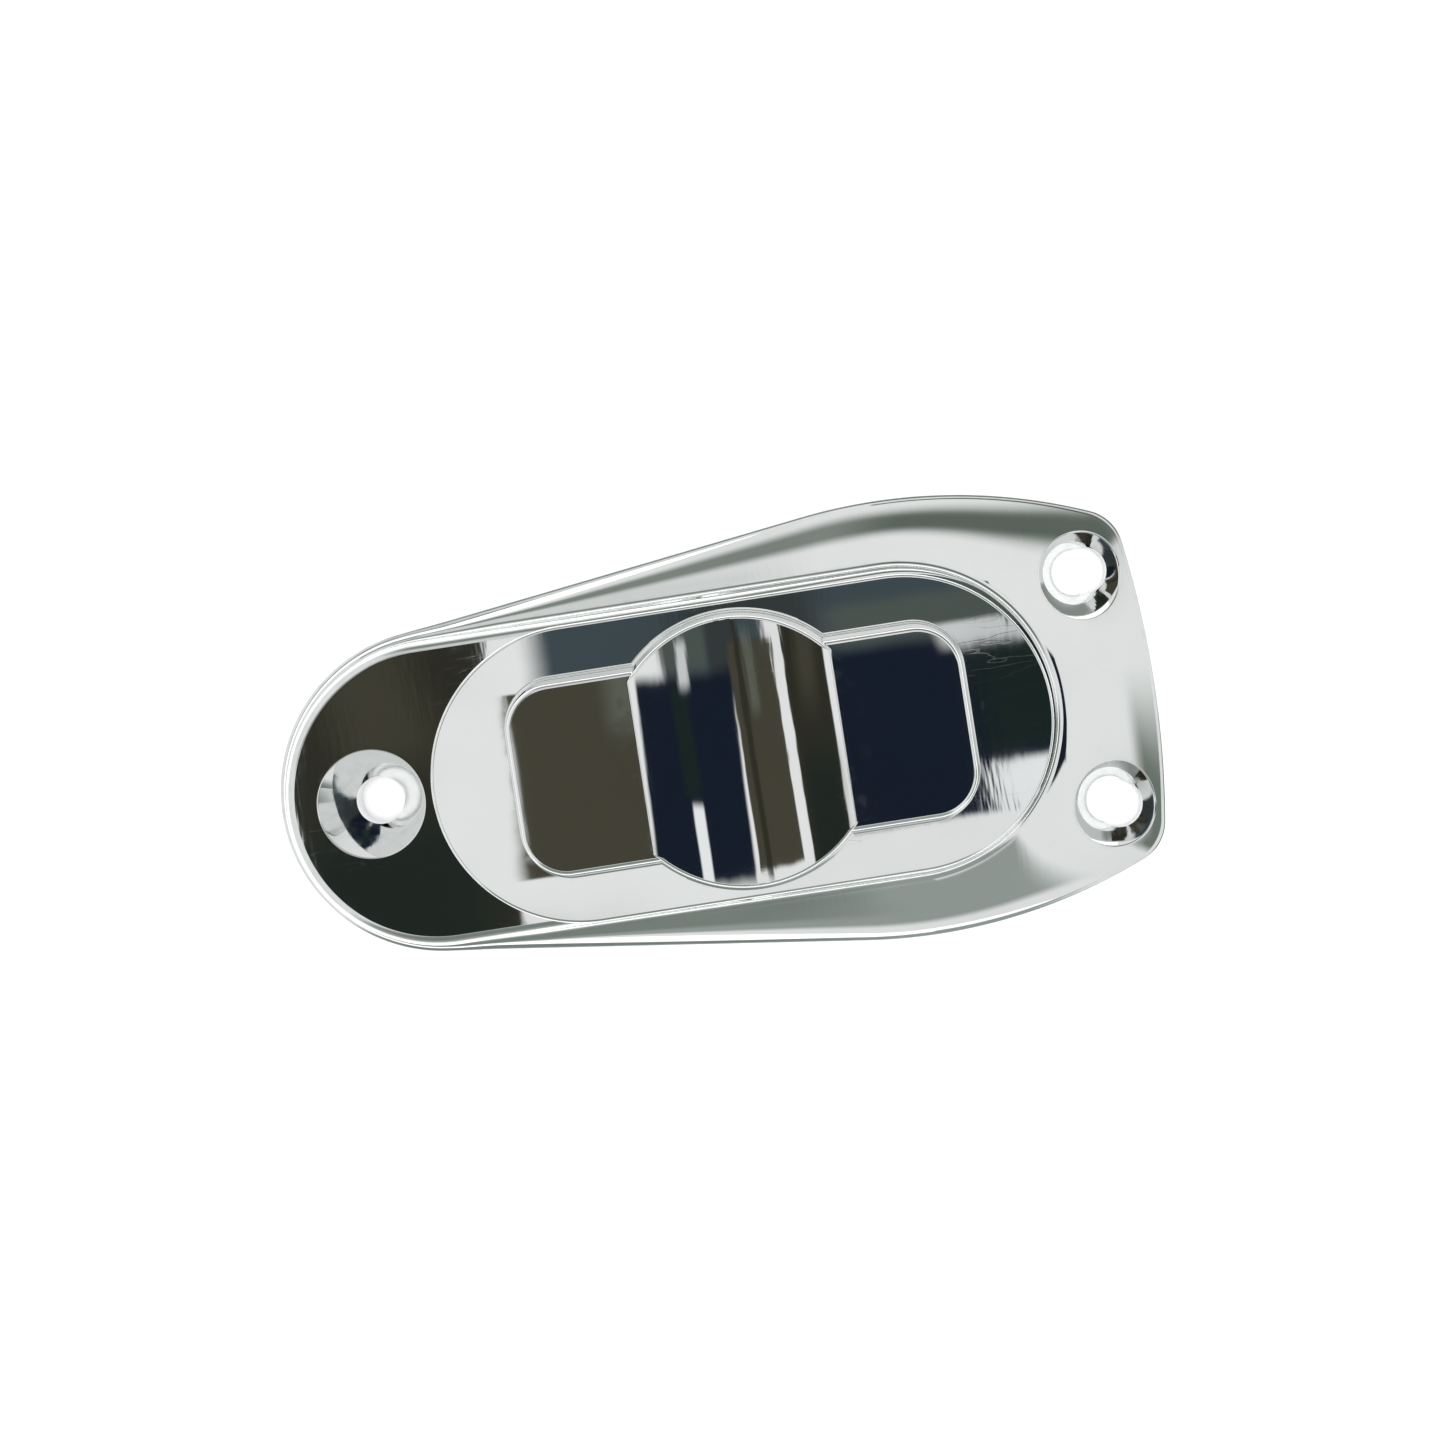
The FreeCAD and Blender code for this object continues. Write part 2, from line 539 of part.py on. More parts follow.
def stop_pin():
    """Pin pressed through the roof that stands up into the lever's groove."""
    return cylinder(STOP_PIN_RADIUS, ROOF_BOTTOM, PLATEAU_HEIGHT + STOP_PIN_STAND, stop_pin_centre())


# ---- detent ----
def spring_line():
    """Distance from the pivot axis to the middle of a leaf spring that lies on the cam's flat."""
    return CAM_SIDE / 2 + RUNNING_CLEARANCE + SPRING_THICKNESS / 2


def detent_spring(side):
    """Flat leaf spring along X on one flat of the cam."""
    start = V(PIVOT_X - SPRING_LENGTH / 2, side * spring_line() - SPRING_THICKNESS / 2, CAM_BOTTOM)
    return Part.makeBox(SPRING_LENGTH, SPRING_THICKNESS, CAM_THICKNESS, start)


def spring_carrier():
    """Moulded frame round the cam with a slot for each end of both leaf springs."""
    bottom = COVER_TOP + AXIAL_PLAY
    top = ROOF_BOTTOM - AXIAL_PLAY
    frame = prism(rounded_rectangle(PIVOT, CARRIER_LENGTH, CARRIER_WIDTH, CARRIER_CORNER), bottom, top)
    inside = rounded_rectangle(PIVOT, CARRIER_LENGTH - 2 * CARRIER_END, CARRIER_WIDTH - 2 * CARRIER_WALL,
                               CARRIER_CORNER)
    frame = frame.cut(prism(inside, bottom - 1, top + 1))
    width = SPRING_THICKNESS + 2 * SLOT_GAP
    length = SPRING_LENGTH + 2 * SLOT_GAP
    for side in (-1, 1):
        start = V(PIVOT_X - length / 2, side * spring_line() - width / 2, CAM_BOTTOM - SLOT_GAP)
        frame = frame.cut(Part.makeBox(length, width, top - bottom, start))
    return frame


# ---- back cover ----
def cover_screw_tip():
    """Height that the cover screws reach."""
    return COVER_RECESS + COVER_SCREW_LENGTH


def cover_head_cone(gap):
    """Countersunk head of a cover screw, through the cover's thickness."""
    return [Part.makeCone(COVER_SCREW_HEAD_RADIUS + gap, COVER_SCREW_RADIUS + gap, COVER_THICKNESS,
                          V(c.x, c.y, COVER_RECESS), Z) for c in post_centres()]


def back_cover():
    """Thin plate in the rebate on the back, countersunk for its four screws."""
    left = CHAMBER_LEFT_X + CHAMBER_HALF_WIDTH
    right = CHAMBER_RIGHT_X - CHAMBER_HALF_WIDTH
    radius = CHAMBER_HALF_WIDTH + COVER_LEDGE - 5 * STATIC_CLEARANCE
    plate = prism(obround_wire(left, right, radius), COVER_RECESS, COVER_TOP)
    return plate.cut(Part.makeCompound(cover_head_cone(STATIC_CLEARANCE)))


def cover_screws():
    """Four countersunk screws, a separate solid each."""
    screws = []
    for head, centre in zip(cover_head_cone(0.0), post_centres()):
        shank = cylinder(COVER_SCREW_RADIUS - STATIC_CLEARANCE, COVER_TOP - 0.1, cover_screw_tip(), centre)
        screws.append(head.fuse(shank).removeSplitter())
    return Part.makeCompound(screws)


# ---- wear pads ----
def spur_pad(side):
    """Round plastic wear pad let into the underside of one lever end."""
    centre = PIVOT + V(side * SPUR_PAD_OFFSET, 0, 0)
    return cylinder(SPUR_PAD_RADIUS, LEVER_BOTTOM + SPUR_PAD_RELIEF, LEVER_BOTTOM + SPUR_PAD_THICKNESS, centre)


def main():
    """Make every node and write it."""
    os.makedirs("parts", exist_ok=True)
    nodes = {
        "base_casting": base_casting(),
        "pivot_bush": pivot_bush(),
        "spindle_seal": spindle_seal(),
        "slip_washer": slip_washer(),
        "stop_pin": stop_pin(),
        "spring_carrier": spring_carrier(),
        "detent_spring_left": detent_spring(1),
        "detent_spring_right": detent_spring(-1),
        "back_cover": back_cover(),
        "cover_screws": cover_screws(),
        "handle_casting": handle_casting(),
        "spindle": spindle(),
        "handle_screw": handle_screw(),
        "detent_cam": detent_cam(),
        "thrust_washer": thrust_washer(),
        "spring_washer": spring_washer(),
        "spur_pad_left": spur_pad(-1),
        "spur_pad_right": spur_pad(1),
    }
    for name, shape in nodes.items():
        write(name, shape)


main()
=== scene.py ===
# Looks of the casement turn handle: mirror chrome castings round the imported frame.
import json
from math import pi, radians

import bmesh
import bpy
import numpy as np
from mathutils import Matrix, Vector


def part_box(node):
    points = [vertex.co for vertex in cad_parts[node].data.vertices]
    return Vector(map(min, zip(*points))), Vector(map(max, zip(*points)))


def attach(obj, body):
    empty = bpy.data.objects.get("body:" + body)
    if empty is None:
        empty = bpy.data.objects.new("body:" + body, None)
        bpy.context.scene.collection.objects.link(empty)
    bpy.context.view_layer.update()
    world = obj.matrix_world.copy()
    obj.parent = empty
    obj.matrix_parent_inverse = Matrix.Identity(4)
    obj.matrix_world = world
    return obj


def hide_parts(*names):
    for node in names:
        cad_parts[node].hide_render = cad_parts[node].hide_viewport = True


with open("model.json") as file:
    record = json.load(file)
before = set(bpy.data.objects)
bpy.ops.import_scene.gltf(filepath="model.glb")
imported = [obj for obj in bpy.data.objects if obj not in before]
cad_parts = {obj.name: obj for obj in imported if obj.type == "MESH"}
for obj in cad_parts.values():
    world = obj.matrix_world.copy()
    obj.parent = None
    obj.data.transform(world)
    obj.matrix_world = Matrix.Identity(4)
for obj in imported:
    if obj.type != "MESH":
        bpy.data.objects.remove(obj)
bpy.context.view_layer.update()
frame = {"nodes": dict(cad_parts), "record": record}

MM = 0.001

# ---- driving sizes, in millimetres; lengths that the frame gives are read from it ----
NOSE_RADIUS = 18.7
FLANK_ANGLE = radians(7.5)
FLANK_END_X = 13.5
SIDE_ARC_RADIUS = 64.0
CORNER_RADIUS = 5.2
END_ARC_RADIUS = 110.0
PLATEAU_HALF_WIDTH = 17.3
PLATEAU_NOSE_MARGIN = 2.0
PLATEAU_EDGE_RADIUS = 1.3
PLATEAU_DRAFT = 0.15
RIM_HEIGHT = 2.0
RIM_EDGE_RADIUS = 0.7
FOOT_RADIUS = 1.0
FLANGE_LOW = 3.0
FLANGE_HIGH = 5.5
FLANGE_WIDE = 13.0
FLANGE_BULGE = 2.4
FLANGE_LEAN = 0.25
NOSE_FALL_START = -18.0
NOSE_FALL_BLEND = 6.0
NOSE_FALL_SLOPE = 0.015
SCREW_HOLE_RADIUS = 2.75
NOSE_SEAT_HEIGHT = 2.4
END_SEAT_HEIGHT = 1.2
COUNTERSINK_HALF_ANGLE = radians(40.0)
NOSE_HOLE_INSET = 11.9
END_HOLE_INSET = 6.3
END_HOLE_SPACING = 27.2
HOLE_RIM_RADIUS = 0.3
GRIP_LENGTH = 49.0
GRIP_WIDTH = 20.4
GRIP_HEIGHT = 3.5
GRIP_CORNER_RADIUS = 4.8
GRIP_EDGE_RADIUS = 0.55
GRIP_DRAFT = 0.6
GRIP_FOOT_RADIUS = 0.35
HUB_RADIUS = 14.2
HUB_HALF_WIDTH = 10.8
HUB_EDGE_RADIUS = 0.35
HUB_CORNER_RADIUS = 0.3
RIDGE_START = 0.93
RIDGE_BLEND = 0.06
RIDGE_EDGE_RADIUS = 0.12
PAD_INNER_END = 9.0
PAD_INNER_CORNER = 0.9
DISH_DEPTH = 1.3
LEVER_THICKNESS = 3.0
LEVER_EDGE_RADIUS = 0.4
CROWN_DROP = 0.14
CROWN_RUN = 8.0
END_RISE_START = 24.5
END_RISE = 0.09
SURFACE_TOLERANCE = 0.003
FLANGE_TOLERANCE = 0.01
SEAT_GAP = 0.02
CHAMBER_WALL = 2.0
CHAMBER_LEFT_X = -27.0
CHAMBER_RIGHT_X = 34.0
COVER_LEDGE = 1.2
POST_RADIUS = 2.3
COVER_SCREW_HEAD_RADIUS = 1.6
PILOT_RADIUS = 1.0
PIVOT_BOSS_RADIUS = 8.2
END_CORE_LENGTH = 7.0
END_CORE_WIDTH = 13.0
END_CORE_DEPTH = 2.4
END_CORE_INSET = 5.2
END_CORE_CORNER = 1.5
CORE_WALL = 1.8
STOP_GROOVE_GAP = 0.2
SPINDLE_NECK = 0.6
SPINDLE_HEAD_SIDE = 7.0
SPINDLE_HEAD_CORNER = 0.05
JOURNAL_RADIUS = 4.0
PILOT_RUNOUT = 0.2

# ---- how the surfaces are divided and joined ----
CUT_BEYOND = 1.0
CUT_OVERLAP = 0.1
STEP_OVERLAP = 0.01
MERGE_DISTANCE = 1e-7
RIM_SHARE = 0.35
FOOT_CLEARANCE = 0.1
DOME_CROWDING = 1.25
CROWN_CROWDING = 1.5
CROWN_START = 0.01
UNDERSIDE_BORDER = 0.3
LEAVING_ANGLE = radians(5)
FOOT_LEAVING_ANGLE = radians(6)
FOOT_SKIRT = 0.12
EDGE_LANDING = 0.06
ROOT_DEPTH = 1.5
SLOPE_STEP = 0.01
TILT_STEP = 0.05
FLANGE_MARGIN = 1.0
SMOOTH_ANGLE = radians(24)
EDGE_FULL_TURN = radians(12)
ARC_POINTS = 9
EDGE_POINTS = 10
LEVER_EDGE_POINTS = 8
CROWN_POINTS = 14
DOME_POINTS = 26
PLATEAU_POINTS = 15
HOLE_POINTS = 96
STRAIGHT_POINTS = 41
SHORT_STRAIGHT_POINTS = 15
HALF_CIRCLE_POINTS = 65
PAD_CORNER_POINTS = 25
HUB_ARC_POINTS = 121
SLOT_POINTS = 61
SLOT_CAP_POINTS = 17
BAR_POINTS = 64
PILOT_POINTS = 32
OUTLINE_POINTS = (49, 41, 41, 25, 25)
FINE_OUTLINE_POINTS = (49, 41, 161, 161, 161)
SETTLING_ROUNDS = 6
HOLE_ROUNDS = 40


def frame_mm(node):
    """Lowest and highest corner of a CAD node, in millimetres."""
    low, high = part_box(node)
    return np.array(low) / MM, np.array(high) / MM


BASE_LOW, BASE_HIGH = frame_mm("base_casting")
LEVER_LOW, LEVER_HIGH = frame_mm("handle_casting")
PLATEAU_HEIGHT = BASE_HIGH[2]
LEVER_BOTTOM = LEVER_LOW[2]
LEVER_TOP = LEVER_BOTTOM + LEVER_THICKNESS
RIDGE_TOP = LEVER_HIGH[2]
GRIP_TOP = LEVER_TOP + GRIP_HEIGHT
PIVOT_X = (LEVER_LOW[0] + LEVER_HIGH[0]) / 2
LEVER_END_RADIUS = (LEVER_HIGH[1] - LEVER_LOW[1]) / 2
LEVER_HALF_RUN = (LEVER_HIGH[0] - LEVER_LOW[0]) / 2 - LEVER_END_RADIUS
NOSE_X = BASE_LOW[0]
END_X = BASE_HIGH[0]
PLATEAU_LEFT_X = NOSE_X + PLATEAU_NOSE_MARGIN + PLATEAU_HALF_WIDTH
PLATEAU_RIGHT_X = PIVOT_X + LEVER_HALF_RUN
PIVOT = (PIVOT_X, 0.0)
CHAMBER_HALF_WIDTH = PLATEAU_HALF_WIDTH - CHAMBER_WALL
COVER_TOP = frame_mm("back_cover")[1][2]
PIN_LOW, PIN_HIGH = frame_mm("stop_pin")
STOP_PIN = (PIN_LOW + PIN_HIGH)[:2] / 2
STOP_PIN_RADIUS = (PIN_HIGH - PIN_LOW)[0] / 2
STOP_PIN_TOP = PIN_HIGH[2]
ROOF_BOTTOM = PIN_LOW[2]
BUSH_LOW, BUSH_HIGH = frame_mm("pivot_bush")
BOSS_BOTTOM = BUSH_LOW[2]
BUSH_TOP = BUSH_HIGH[2]
BUSH_RADIUS = (BUSH_HIGH - BUSH_LOW)[0] / 2
SEAL_LOW, SEAL_HIGH = frame_mm("spindle_seal")
SEAL_SEAT_RADIUS = (SEAL_HIGH - SEAL_LOW)[0] / 2 + SEAT_GAP
SPINDLE_TOP = frame_mm("spindle")[1][2]
SCREWS_LOW, SCREWS_HIGH = frame_mm("cover_screws")
PILOT_TOP = SCREWS_HIGH[2] + PILOT_RUNOUT
POST_REACH = (SCREWS_HIGH - SCREWS_LOW)[:2] / 2 - COVER_SCREW_HEAD_RADIUS
POSTS = [(PIVOT_X + sx * POST_REACH[0], sy * POST_REACH[1]) for sx in (-1, 1) for sy in (-1, 1)]


# ---- meshes from grids ----
def mesh_object(name, vertices, faces):
    """New object at the origin from vertices in millimetres; doubles merged, faces turned outwards."""
    mesh = bpy.data.meshes.new(name)
    mesh.from_pydata((vertices * MM).tolist(), [], faces.tolist())
    piece = bpy.data.objects.new(name, mesh)
    bpy.context.scene.collection.objects.link(piece)
    work = bmesh.new()
    work.from_mesh(mesh)
    bmesh.ops.remove_doubles(work, verts=work.verts, dist=MERGE_DISTANCE)
    bmesh.ops.dissolve_degenerate(work, edges=work.edges, dist=MERGE_DISTANCE)
    bmesh.ops.recalc_face_normals(work, faces=work.faces)
    work.to_mesh(mesh)
    work.free()
    return piece


def ring_grid(name, rows):
    """Closed surface through rows of points: rows[i, j] joins its neighbours in both directions,
    j runs round and wraps, and the first and last rows are folded shut onto themselves."""
    count, around = rows.shape[:2]
    i = np.arange(count - 1)[:, None] * around
    j = np.arange(around)[None, :]
    k = (j + 1) % around
    faces = np.stack([i + j, i + k, i + around + k, i + around + j], axis=-1).reshape(-1, 4)
    return mesh_object(name, rows.reshape(-1, 3), faces)


def arc(centre, radius, start, end, count):
    """Points on a circular arc, both ends included: centre + radius (cos a, sin a)."""
    a = np.linspace(start, end, count)
    return np.stack([centre[0] + radius * np.cos(a), centre[1] + radius * np.sin(a)], axis=-1)


def tangent_centre(centre_a, reach_a, centre_b, reach_b):
    """Where two circles of the given reaches cross, the crossing further along +X."""
    apart = centre_b - centre_a
    length = np.hypot(*apart)
    along = (length ** 2 + reach_a ** 2 - reach_b ** 2) / (2 * length)
    across = np.sqrt(reach_a ** 2 - along ** 2)
    unit = apart / length
    normal = np.array([-unit[1], unit[0]])
    first = centre_a + unit * along + normal * across
    second = centre_a + unit * along - normal * across
    return first if first[0] > second[0] else second


def base_outline(points):
    """Outline of the base as a closed run of points: nose arc, straight flank, side arc, corner arc
    and end arc over the +Y half, and the same mirrored. points says how many lie on each stretch."""
    slope = FLANK_ANGLE
    nose = np.array([NOSE_X + NOSE_RADIUS, 0.0])
    start = nose + NOSE_RADIUS * np.array([-np.sin(slope), np.cos(slope)])
    end = start + (FLANK_END_X - start[0]) / np.cos(slope) * np.array([np.cos(slope), np.sin(slope)])
    side = end + SIDE_ARC_RADIUS * np.array([np.sin(slope), -np.cos(slope)])
    tip = np.array([END_X - END_ARC_RADIUS, 0.0])
    corner = tangent_centre(tip, END_ARC_RADIUS - CORNER_RADIUS, side, SIDE_ARC_RADIUS - CORNER_RADIUS)
    side_end = np.arctan2(*(corner - side)[::-1])
    corner_end = np.arctan2(*(corner - tip)[::-1])
    half = np.concatenate([
        arc(nose, NOSE_RADIUS, pi, pi / 2 + slope, points[0])[:-1],
        np.linspace(start, end, points[1])[:-1],
        arc(side, SIDE_ARC_RADIUS, pi / 2 + slope, side_end, points[2])[:-1],
        arc(corner, CORNER_RADIUS, side_end, corner_end, points[3])[:-1],
        arc(tip, END_ARC_RADIUS, corner_end, 0.0, points[4]),
    ])
    return np.concatenate([half, half[-2:0:-1] * np.array([1, -1])])


def smooth_step(value):
    """0 below 0, 1 above 1, and 3v^2 - 2v^3 between."""
    value = np.clip(value, 0, 1)
    return value * value * (3 - 2 * value)


def flange_shape(reach):
    """Edge radius, foot radius, height at the plateau and run of the dome, for a ray of this reach."""
    width = reach - PLATEAU_HALF_WIDTH
    edge = np.minimum(RIM_EDGE_RADIUS, RIM_SHARE * width)
    foot = np.minimum(FOOT_RADIUS, RIM_SHARE * width)
    height = FLANGE_LOW + (FLANGE_HIGH - FLANGE_LOW) * smooth_step(width / FLANGE_WIDE)
    return edge, foot, height, width - edge - foot


def flange_rise(share):
    """Rise of the flange over its run: mostly the dome 1 - (1 - share)^bulge, and partly straight."""
    return (1 - FLANGE_LEAN) * (1 - (1 - share) ** FLANGE_BULGE) + FLANGE_LEAN * share


def nose_thinning(x):
    """Share of the full height left at x: the casting thins steadily towards the nose, by the fall
    slope times the distance past the start, eased in as a square over the blend."""
    past = np.maximum(NOSE_FALL_START - x, 0)
    eased = np.where(past < NOSE_FALL_BLEND, past ** 2 / (2 * NOSE_FALL_BLEND), past - NOSE_FALL_BLEND / 2)
    return 1 - NOSE_FALL_SLOPE * eased / PLATEAU_HEIGHT


def plateau_level(x, y):
    """Height of the plateau: its full height, thinned towards the nose."""
    return PLATEAU_HEIGHT * nose_thinning(x)


def base_profile(reach):
    """Distance and height along each ray, from the back's middle out to the outline, up the rim, over
    the flange, up the hollow foot, over the plateau's edge and back in."""
    edge, foot, height, run = flange_shape(reach)
    quarter = np.linspace(0, pi / 2, ARC_POINTS)[:, None]
    share = np.linspace(0, 1, DOME_POINTS)[1:, None] ** DOME_CROWDING
    rise = flange_rise(share)
    top = np.minimum(PLATEAU_EDGE_RADIUS, PLATEAU_HEIGHT - height - foot - FOOT_CLEARANCE)
    inner = PLATEAU_HALF_WIDTH - PLATEAU_DRAFT - top
    zero = np.zeros_like(reach)[None]
    shares_in = np.linspace(0, 1, PLATEAU_POINTS)[1:, None]
    distance = np.concatenate([
        zero, reach[None], reach[None] - edge * (1 - np.cos(quarter)),
        reach - edge - run * share,
        PLATEAU_HALF_WIDTH + foot * (1 - np.sin(quarter[1:])),
        PLATEAU_HALF_WIDTH - PLATEAU_DRAFT - top * (1 - np.cos(quarter)),
        inner * (1 - shares_in),
    ])
    level = np.concatenate([
        zero, zero, RIM_HEIGHT - edge * (1 - np.sin(quarter)),
        RIM_HEIGHT + (height - RIM_HEIGHT) * rise,
        height + foot * (1 - np.cos(quarter[1:])),
        PLATEAU_HEIGHT - top * (1 - np.sin(quarter)),
        PLATEAU_HEIGHT + zero * shares_in,
    ])
    return distance, level


def rays_to(outline, left_x, right_x):
    """Foot of the square ray from a centre line to each outline point, its direction and its reach."""
    foot = np.stack([np.clip(outline[:, 0], left_x, right_x), np.zeros(len(outline))], axis=-1)
    reach = np.hypot(*(outline - foot).T)
    return foot, (outline - foot) / reach[:, None], reach


def base_body():
    """Outer skin of the base casting: base_profile carried along the rays to base_outline."""
    outline = base_outline(OUTLINE_POINTS)
    foot, way, reach = rays_to(outline, PLATEAU_LEFT_X, PLATEAU_RIGHT_X)
    distance, level = base_profile(reach)
    plan = foot[None] + way[None] * distance[..., None]
    level = level * nose_thinning(plan[..., 0])
    return ring_grid("base_casting_shell", np.concatenate([plan, level[..., None]], axis=-1))


def skin_level(x, y):
    """Height of the domed flange at a point to the right of the plateau's right centre, from the
    profile of the ray that passes through it; well below ground elsewhere."""
    outline = base_outline(FINE_OUTLINE_POINTS)
    outline = outline[outline[:, 0] > PLATEAU_RIGHT_X]
    bearing = np.arctan2(outline[:, 1], outline[:, 0] - PLATEAU_RIGHT_X)
    reaches = np.hypot(outline[:, 1], outline[:, 0] - PLATEAU_RIGHT_X)
    order = np.argsort(bearing)
    reach = np.interp(np.arctan2(y, x - PLATEAU_RIGHT_X), bearing[order], reaches[order])
    edge, foot, height, run = flange_shape(reach)
    share = np.clip((reach - edge - np.hypot(x - PLATEAU_RIGHT_X, y)) / run, 0, 1)
    level = RIM_HEIGHT + (height - RIM_HEIGHT) * flange_rise(share)
    return np.where(x > PLATEAU_RIGHT_X + FLANGE_MARGIN, level, -PLATEAU_HEIGHT)


def countersink(name, centre, seat, level):
    """Cutter for a screw hole: for each bearing a straight wall up to seat, a cone, and a small
    rounding that is tangent to the cone and leaves the surface level(x, y) at a slight angle."""
    bearing = np.linspace(0, 2 * pi, HOLE_POINTS + 1)[:-1]
    slope = 1 / np.tan(COUNTERSINK_HALF_ANGLE)
    out = np.stack([np.cos(bearing), np.sin(bearing)], axis=-1)
    radius = np.full(len(bearing), 2 * SCREW_HOLE_RADIUS)
    for _ in range(HOLE_ROUNDS):
        surface = level(centre[0] + radius * out[:, 0], centre[1] + radius * out[:, 1])
        radius = SCREW_HOLE_RADIUS + (surface - seat) / slope
    further = radius + TILT_STEP
    ahead = level(centre[0] + further * out[:, 0], centre[1] + further * out[:, 1])
    tilt = np.arctan2(ahead - surface, TILT_STEP)
    cone = pi / 2 - COUNTERSINK_HALF_ANGLE
    leave = tilt + LEAVING_ANGLE
    turn = cone - leave
    setback = HOLE_RIM_RADIUS * np.tan(turn / 2)
    start_r = radius - setback * np.cos(cone)
    start_z = surface - setback * np.sin(cone)
    hub_r = start_r + HOLE_RIM_RADIUS * np.sin(cone)
    hub_z = start_z - HOLE_RIM_RADIUS * np.cos(cone)
    angles = cone - turn * np.linspace(0, 1, ARC_POINTS)[:, None]
    rim_r = hub_r - HOLE_RIM_RADIUS * np.sin(angles)
    rim_z = hub_z + HOLE_RIM_RADIUS * np.cos(angles)
    flat = np.zeros(len(bearing))
    last_r = rim_r[-1] + CUT_BEYOND * np.cos(leave)
    last_z = rim_z[-1] + CUT_BEYOND * np.sin(leave)
    clear = flat + PLATEAU_HEIGHT + 2 * CUT_BEYOND
    radii = np.stack([flat, flat + SCREW_HOLE_RADIUS, flat + SCREW_HOLE_RADIUS,
                      *rim_r, last_r, last_r, flat])
    levels = np.stack([flat - CUT_BEYOND, flat - CUT_BEYOND, flat + seat, *rim_z, last_z, clear, clear])
    plan = np.array(centre)[None, None] + radii[..., None] * out[None]
    return ring_grid(name, np.concatenate([plan, levels[..., None]], axis=-1))


def obround(left_x, right_x, radius):
    """Closed run of points round a stadium whose half circles are centred on left_x and right_x."""
    right = arc((right_x, 0.0), radius, -pi / 2, pi / 2, HALF_CIRCLE_POINTS)
    left = arc((left_x, 0.0), radius, pi / 2, 3 * pi / 2, HALF_CIRCLE_POINTS)
    run = np.linspace(right[-1], left[0], STRAIGHT_POINTS)[1:-1]
    back = np.linspace(left[-1], right[0], STRAIGHT_POINTS)[1:-1]
    return np.concatenate([right, run, left, back])


def plate_level(x, y):
    """Height of the lever plate: flat in its middle, falling towards each long side as the square of
    how far a point has come within the crown's run of that side, and rising as a square to its ends."""
    inset = LEVER_END_RADIUS - np.abs(y)
    fall = CROWN_DROP * np.clip(1 - inset / CROWN_RUN, 0, 1) ** 2
    past = np.maximum(np.abs(x - PIVOT_X) - END_RISE_START, 0)
    rise = END_RISE * (past / (LEVER_HALF_RUN + LEVER_END_RADIUS - END_RISE_START)) ** 2
    return LEVER_TOP - fall + rise


def lever_plate():
    """Lever plate: rings of the stadium outline moved in along its rays. They climb the side, turn
    over a small round edge and follow plate_level to the centre line."""
    r = LEVER_EDGE_RADIUS
    quarter = np.linspace(0, pi / 2, LEVER_EDGE_POINTS)
    inward = r + CROWN_RUN * np.linspace(CROWN_START, 1, CROWN_POINTS) ** CROWN_CROWDING
    inset = np.concatenate([[0, UNDERSIDE_BORDER, 0], r * (1 - np.cos(quarter)), inward])
    outline = obround(PIVOT_X - LEVER_HALF_RUN, PIVOT_X + LEVER_HALF_RUN, LEVER_END_RADIUS)
    foot, way, reach = rays_to(outline, PIVOT_X - LEVER_HALF_RUN, PIVOT_X + LEVER_HALF_RUN)
    distance = reach[None] - np.concatenate([inset, [0]])[:, None]
    distance[0] = 0
    distance[-1] = 0
    plan = foot[None] + way[None] * distance[..., None]
    level = plate_level(plan[..., 0], plan[..., 1])
    level[:3] = LEVER_BOTTOM
    level[3:3 + LEVER_EDGE_POINTS] -= r * (1 - np.sin(quarter))[:, None]
    return ring_grid("handle_plate", np.concatenate([plan, level[..., None]], axis=-1))


def rounded_outline(left_x, right_x, half_y, left_corner, right_corner, count):
    """Closed run of points round a rectangle with round corners, of one radius at each end."""
    runs = []
    for quarter, (sx, sy) in enumerate(((1, 1), (-1, 1), (-1, -1), (1, -1))):
        corner = right_corner if sx > 0 else left_corner
        centre = ((right_x if sx > 0 else left_x) - sx * corner, sy * (half_y - corner))
        runs.append(arc(centre, corner, quarter * pi / 2, (quarter + 1) * pi / 2, count))
    ends = [np.linspace(runs[i][-1], runs[(i + 1) % 4][0], SHORT_STRAIGHT_POINTS)[1:-1]
            for i in range(4)]
    return np.concatenate([part for pair in zip(runs, ends) for part in pair])


def hub_outline():
    """Closed run of points round a circle cut off by two flats, its four corners rounded off."""
    corner = HUB_CORNER_RADIUS
    inner = HUB_HALF_WIDTH - corner
    rise = np.sqrt((HUB_RADIUS - corner) ** 2 - inner ** 2)
    bearing = np.arctan2(rise, inner)
    upper = [
        arc((PIVOT_X + inner, rise), corner, 0, bearing, ARC_POINTS)[:-1],
        arc((PIVOT_X, 0), HUB_RADIUS, bearing, pi - bearing, HUB_ARC_POINTS),
        arc((PIVOT_X - inner, rise), corner, pi - bearing, pi, ARC_POINTS)[1:],
    ]
    upper = np.concatenate(upper)
    lower = upper * np.array([1, -1])
    lower = lower[::-1]
    left = np.linspace(upper[-1], lower[0], STRAIGHT_POINTS)[1:-1]
    right = np.linspace(lower[-1], upper[0], STRAIGHT_POINTS)[1:-1]
    return np.concatenate([upper, left, lower, right])


def outline_normals(points):
    """Unit normals of a closed run of points that turns anticlockwise, pointing outwards."""
    ahead = np.roll(points, -1, axis=0) - points
    behind = points - np.roll(points, 1, axis=0)
    ahead = ahead / np.hypot(*ahead.T)[:, None]
    behind = behind / np.hypot(*behind.T)[:, None]
    along = ahead + behind
    normal = np.stack([along[:, 1], -along[:, 0]], axis=-1)
    return normal / np.hypot(*normal.T)[:, None]


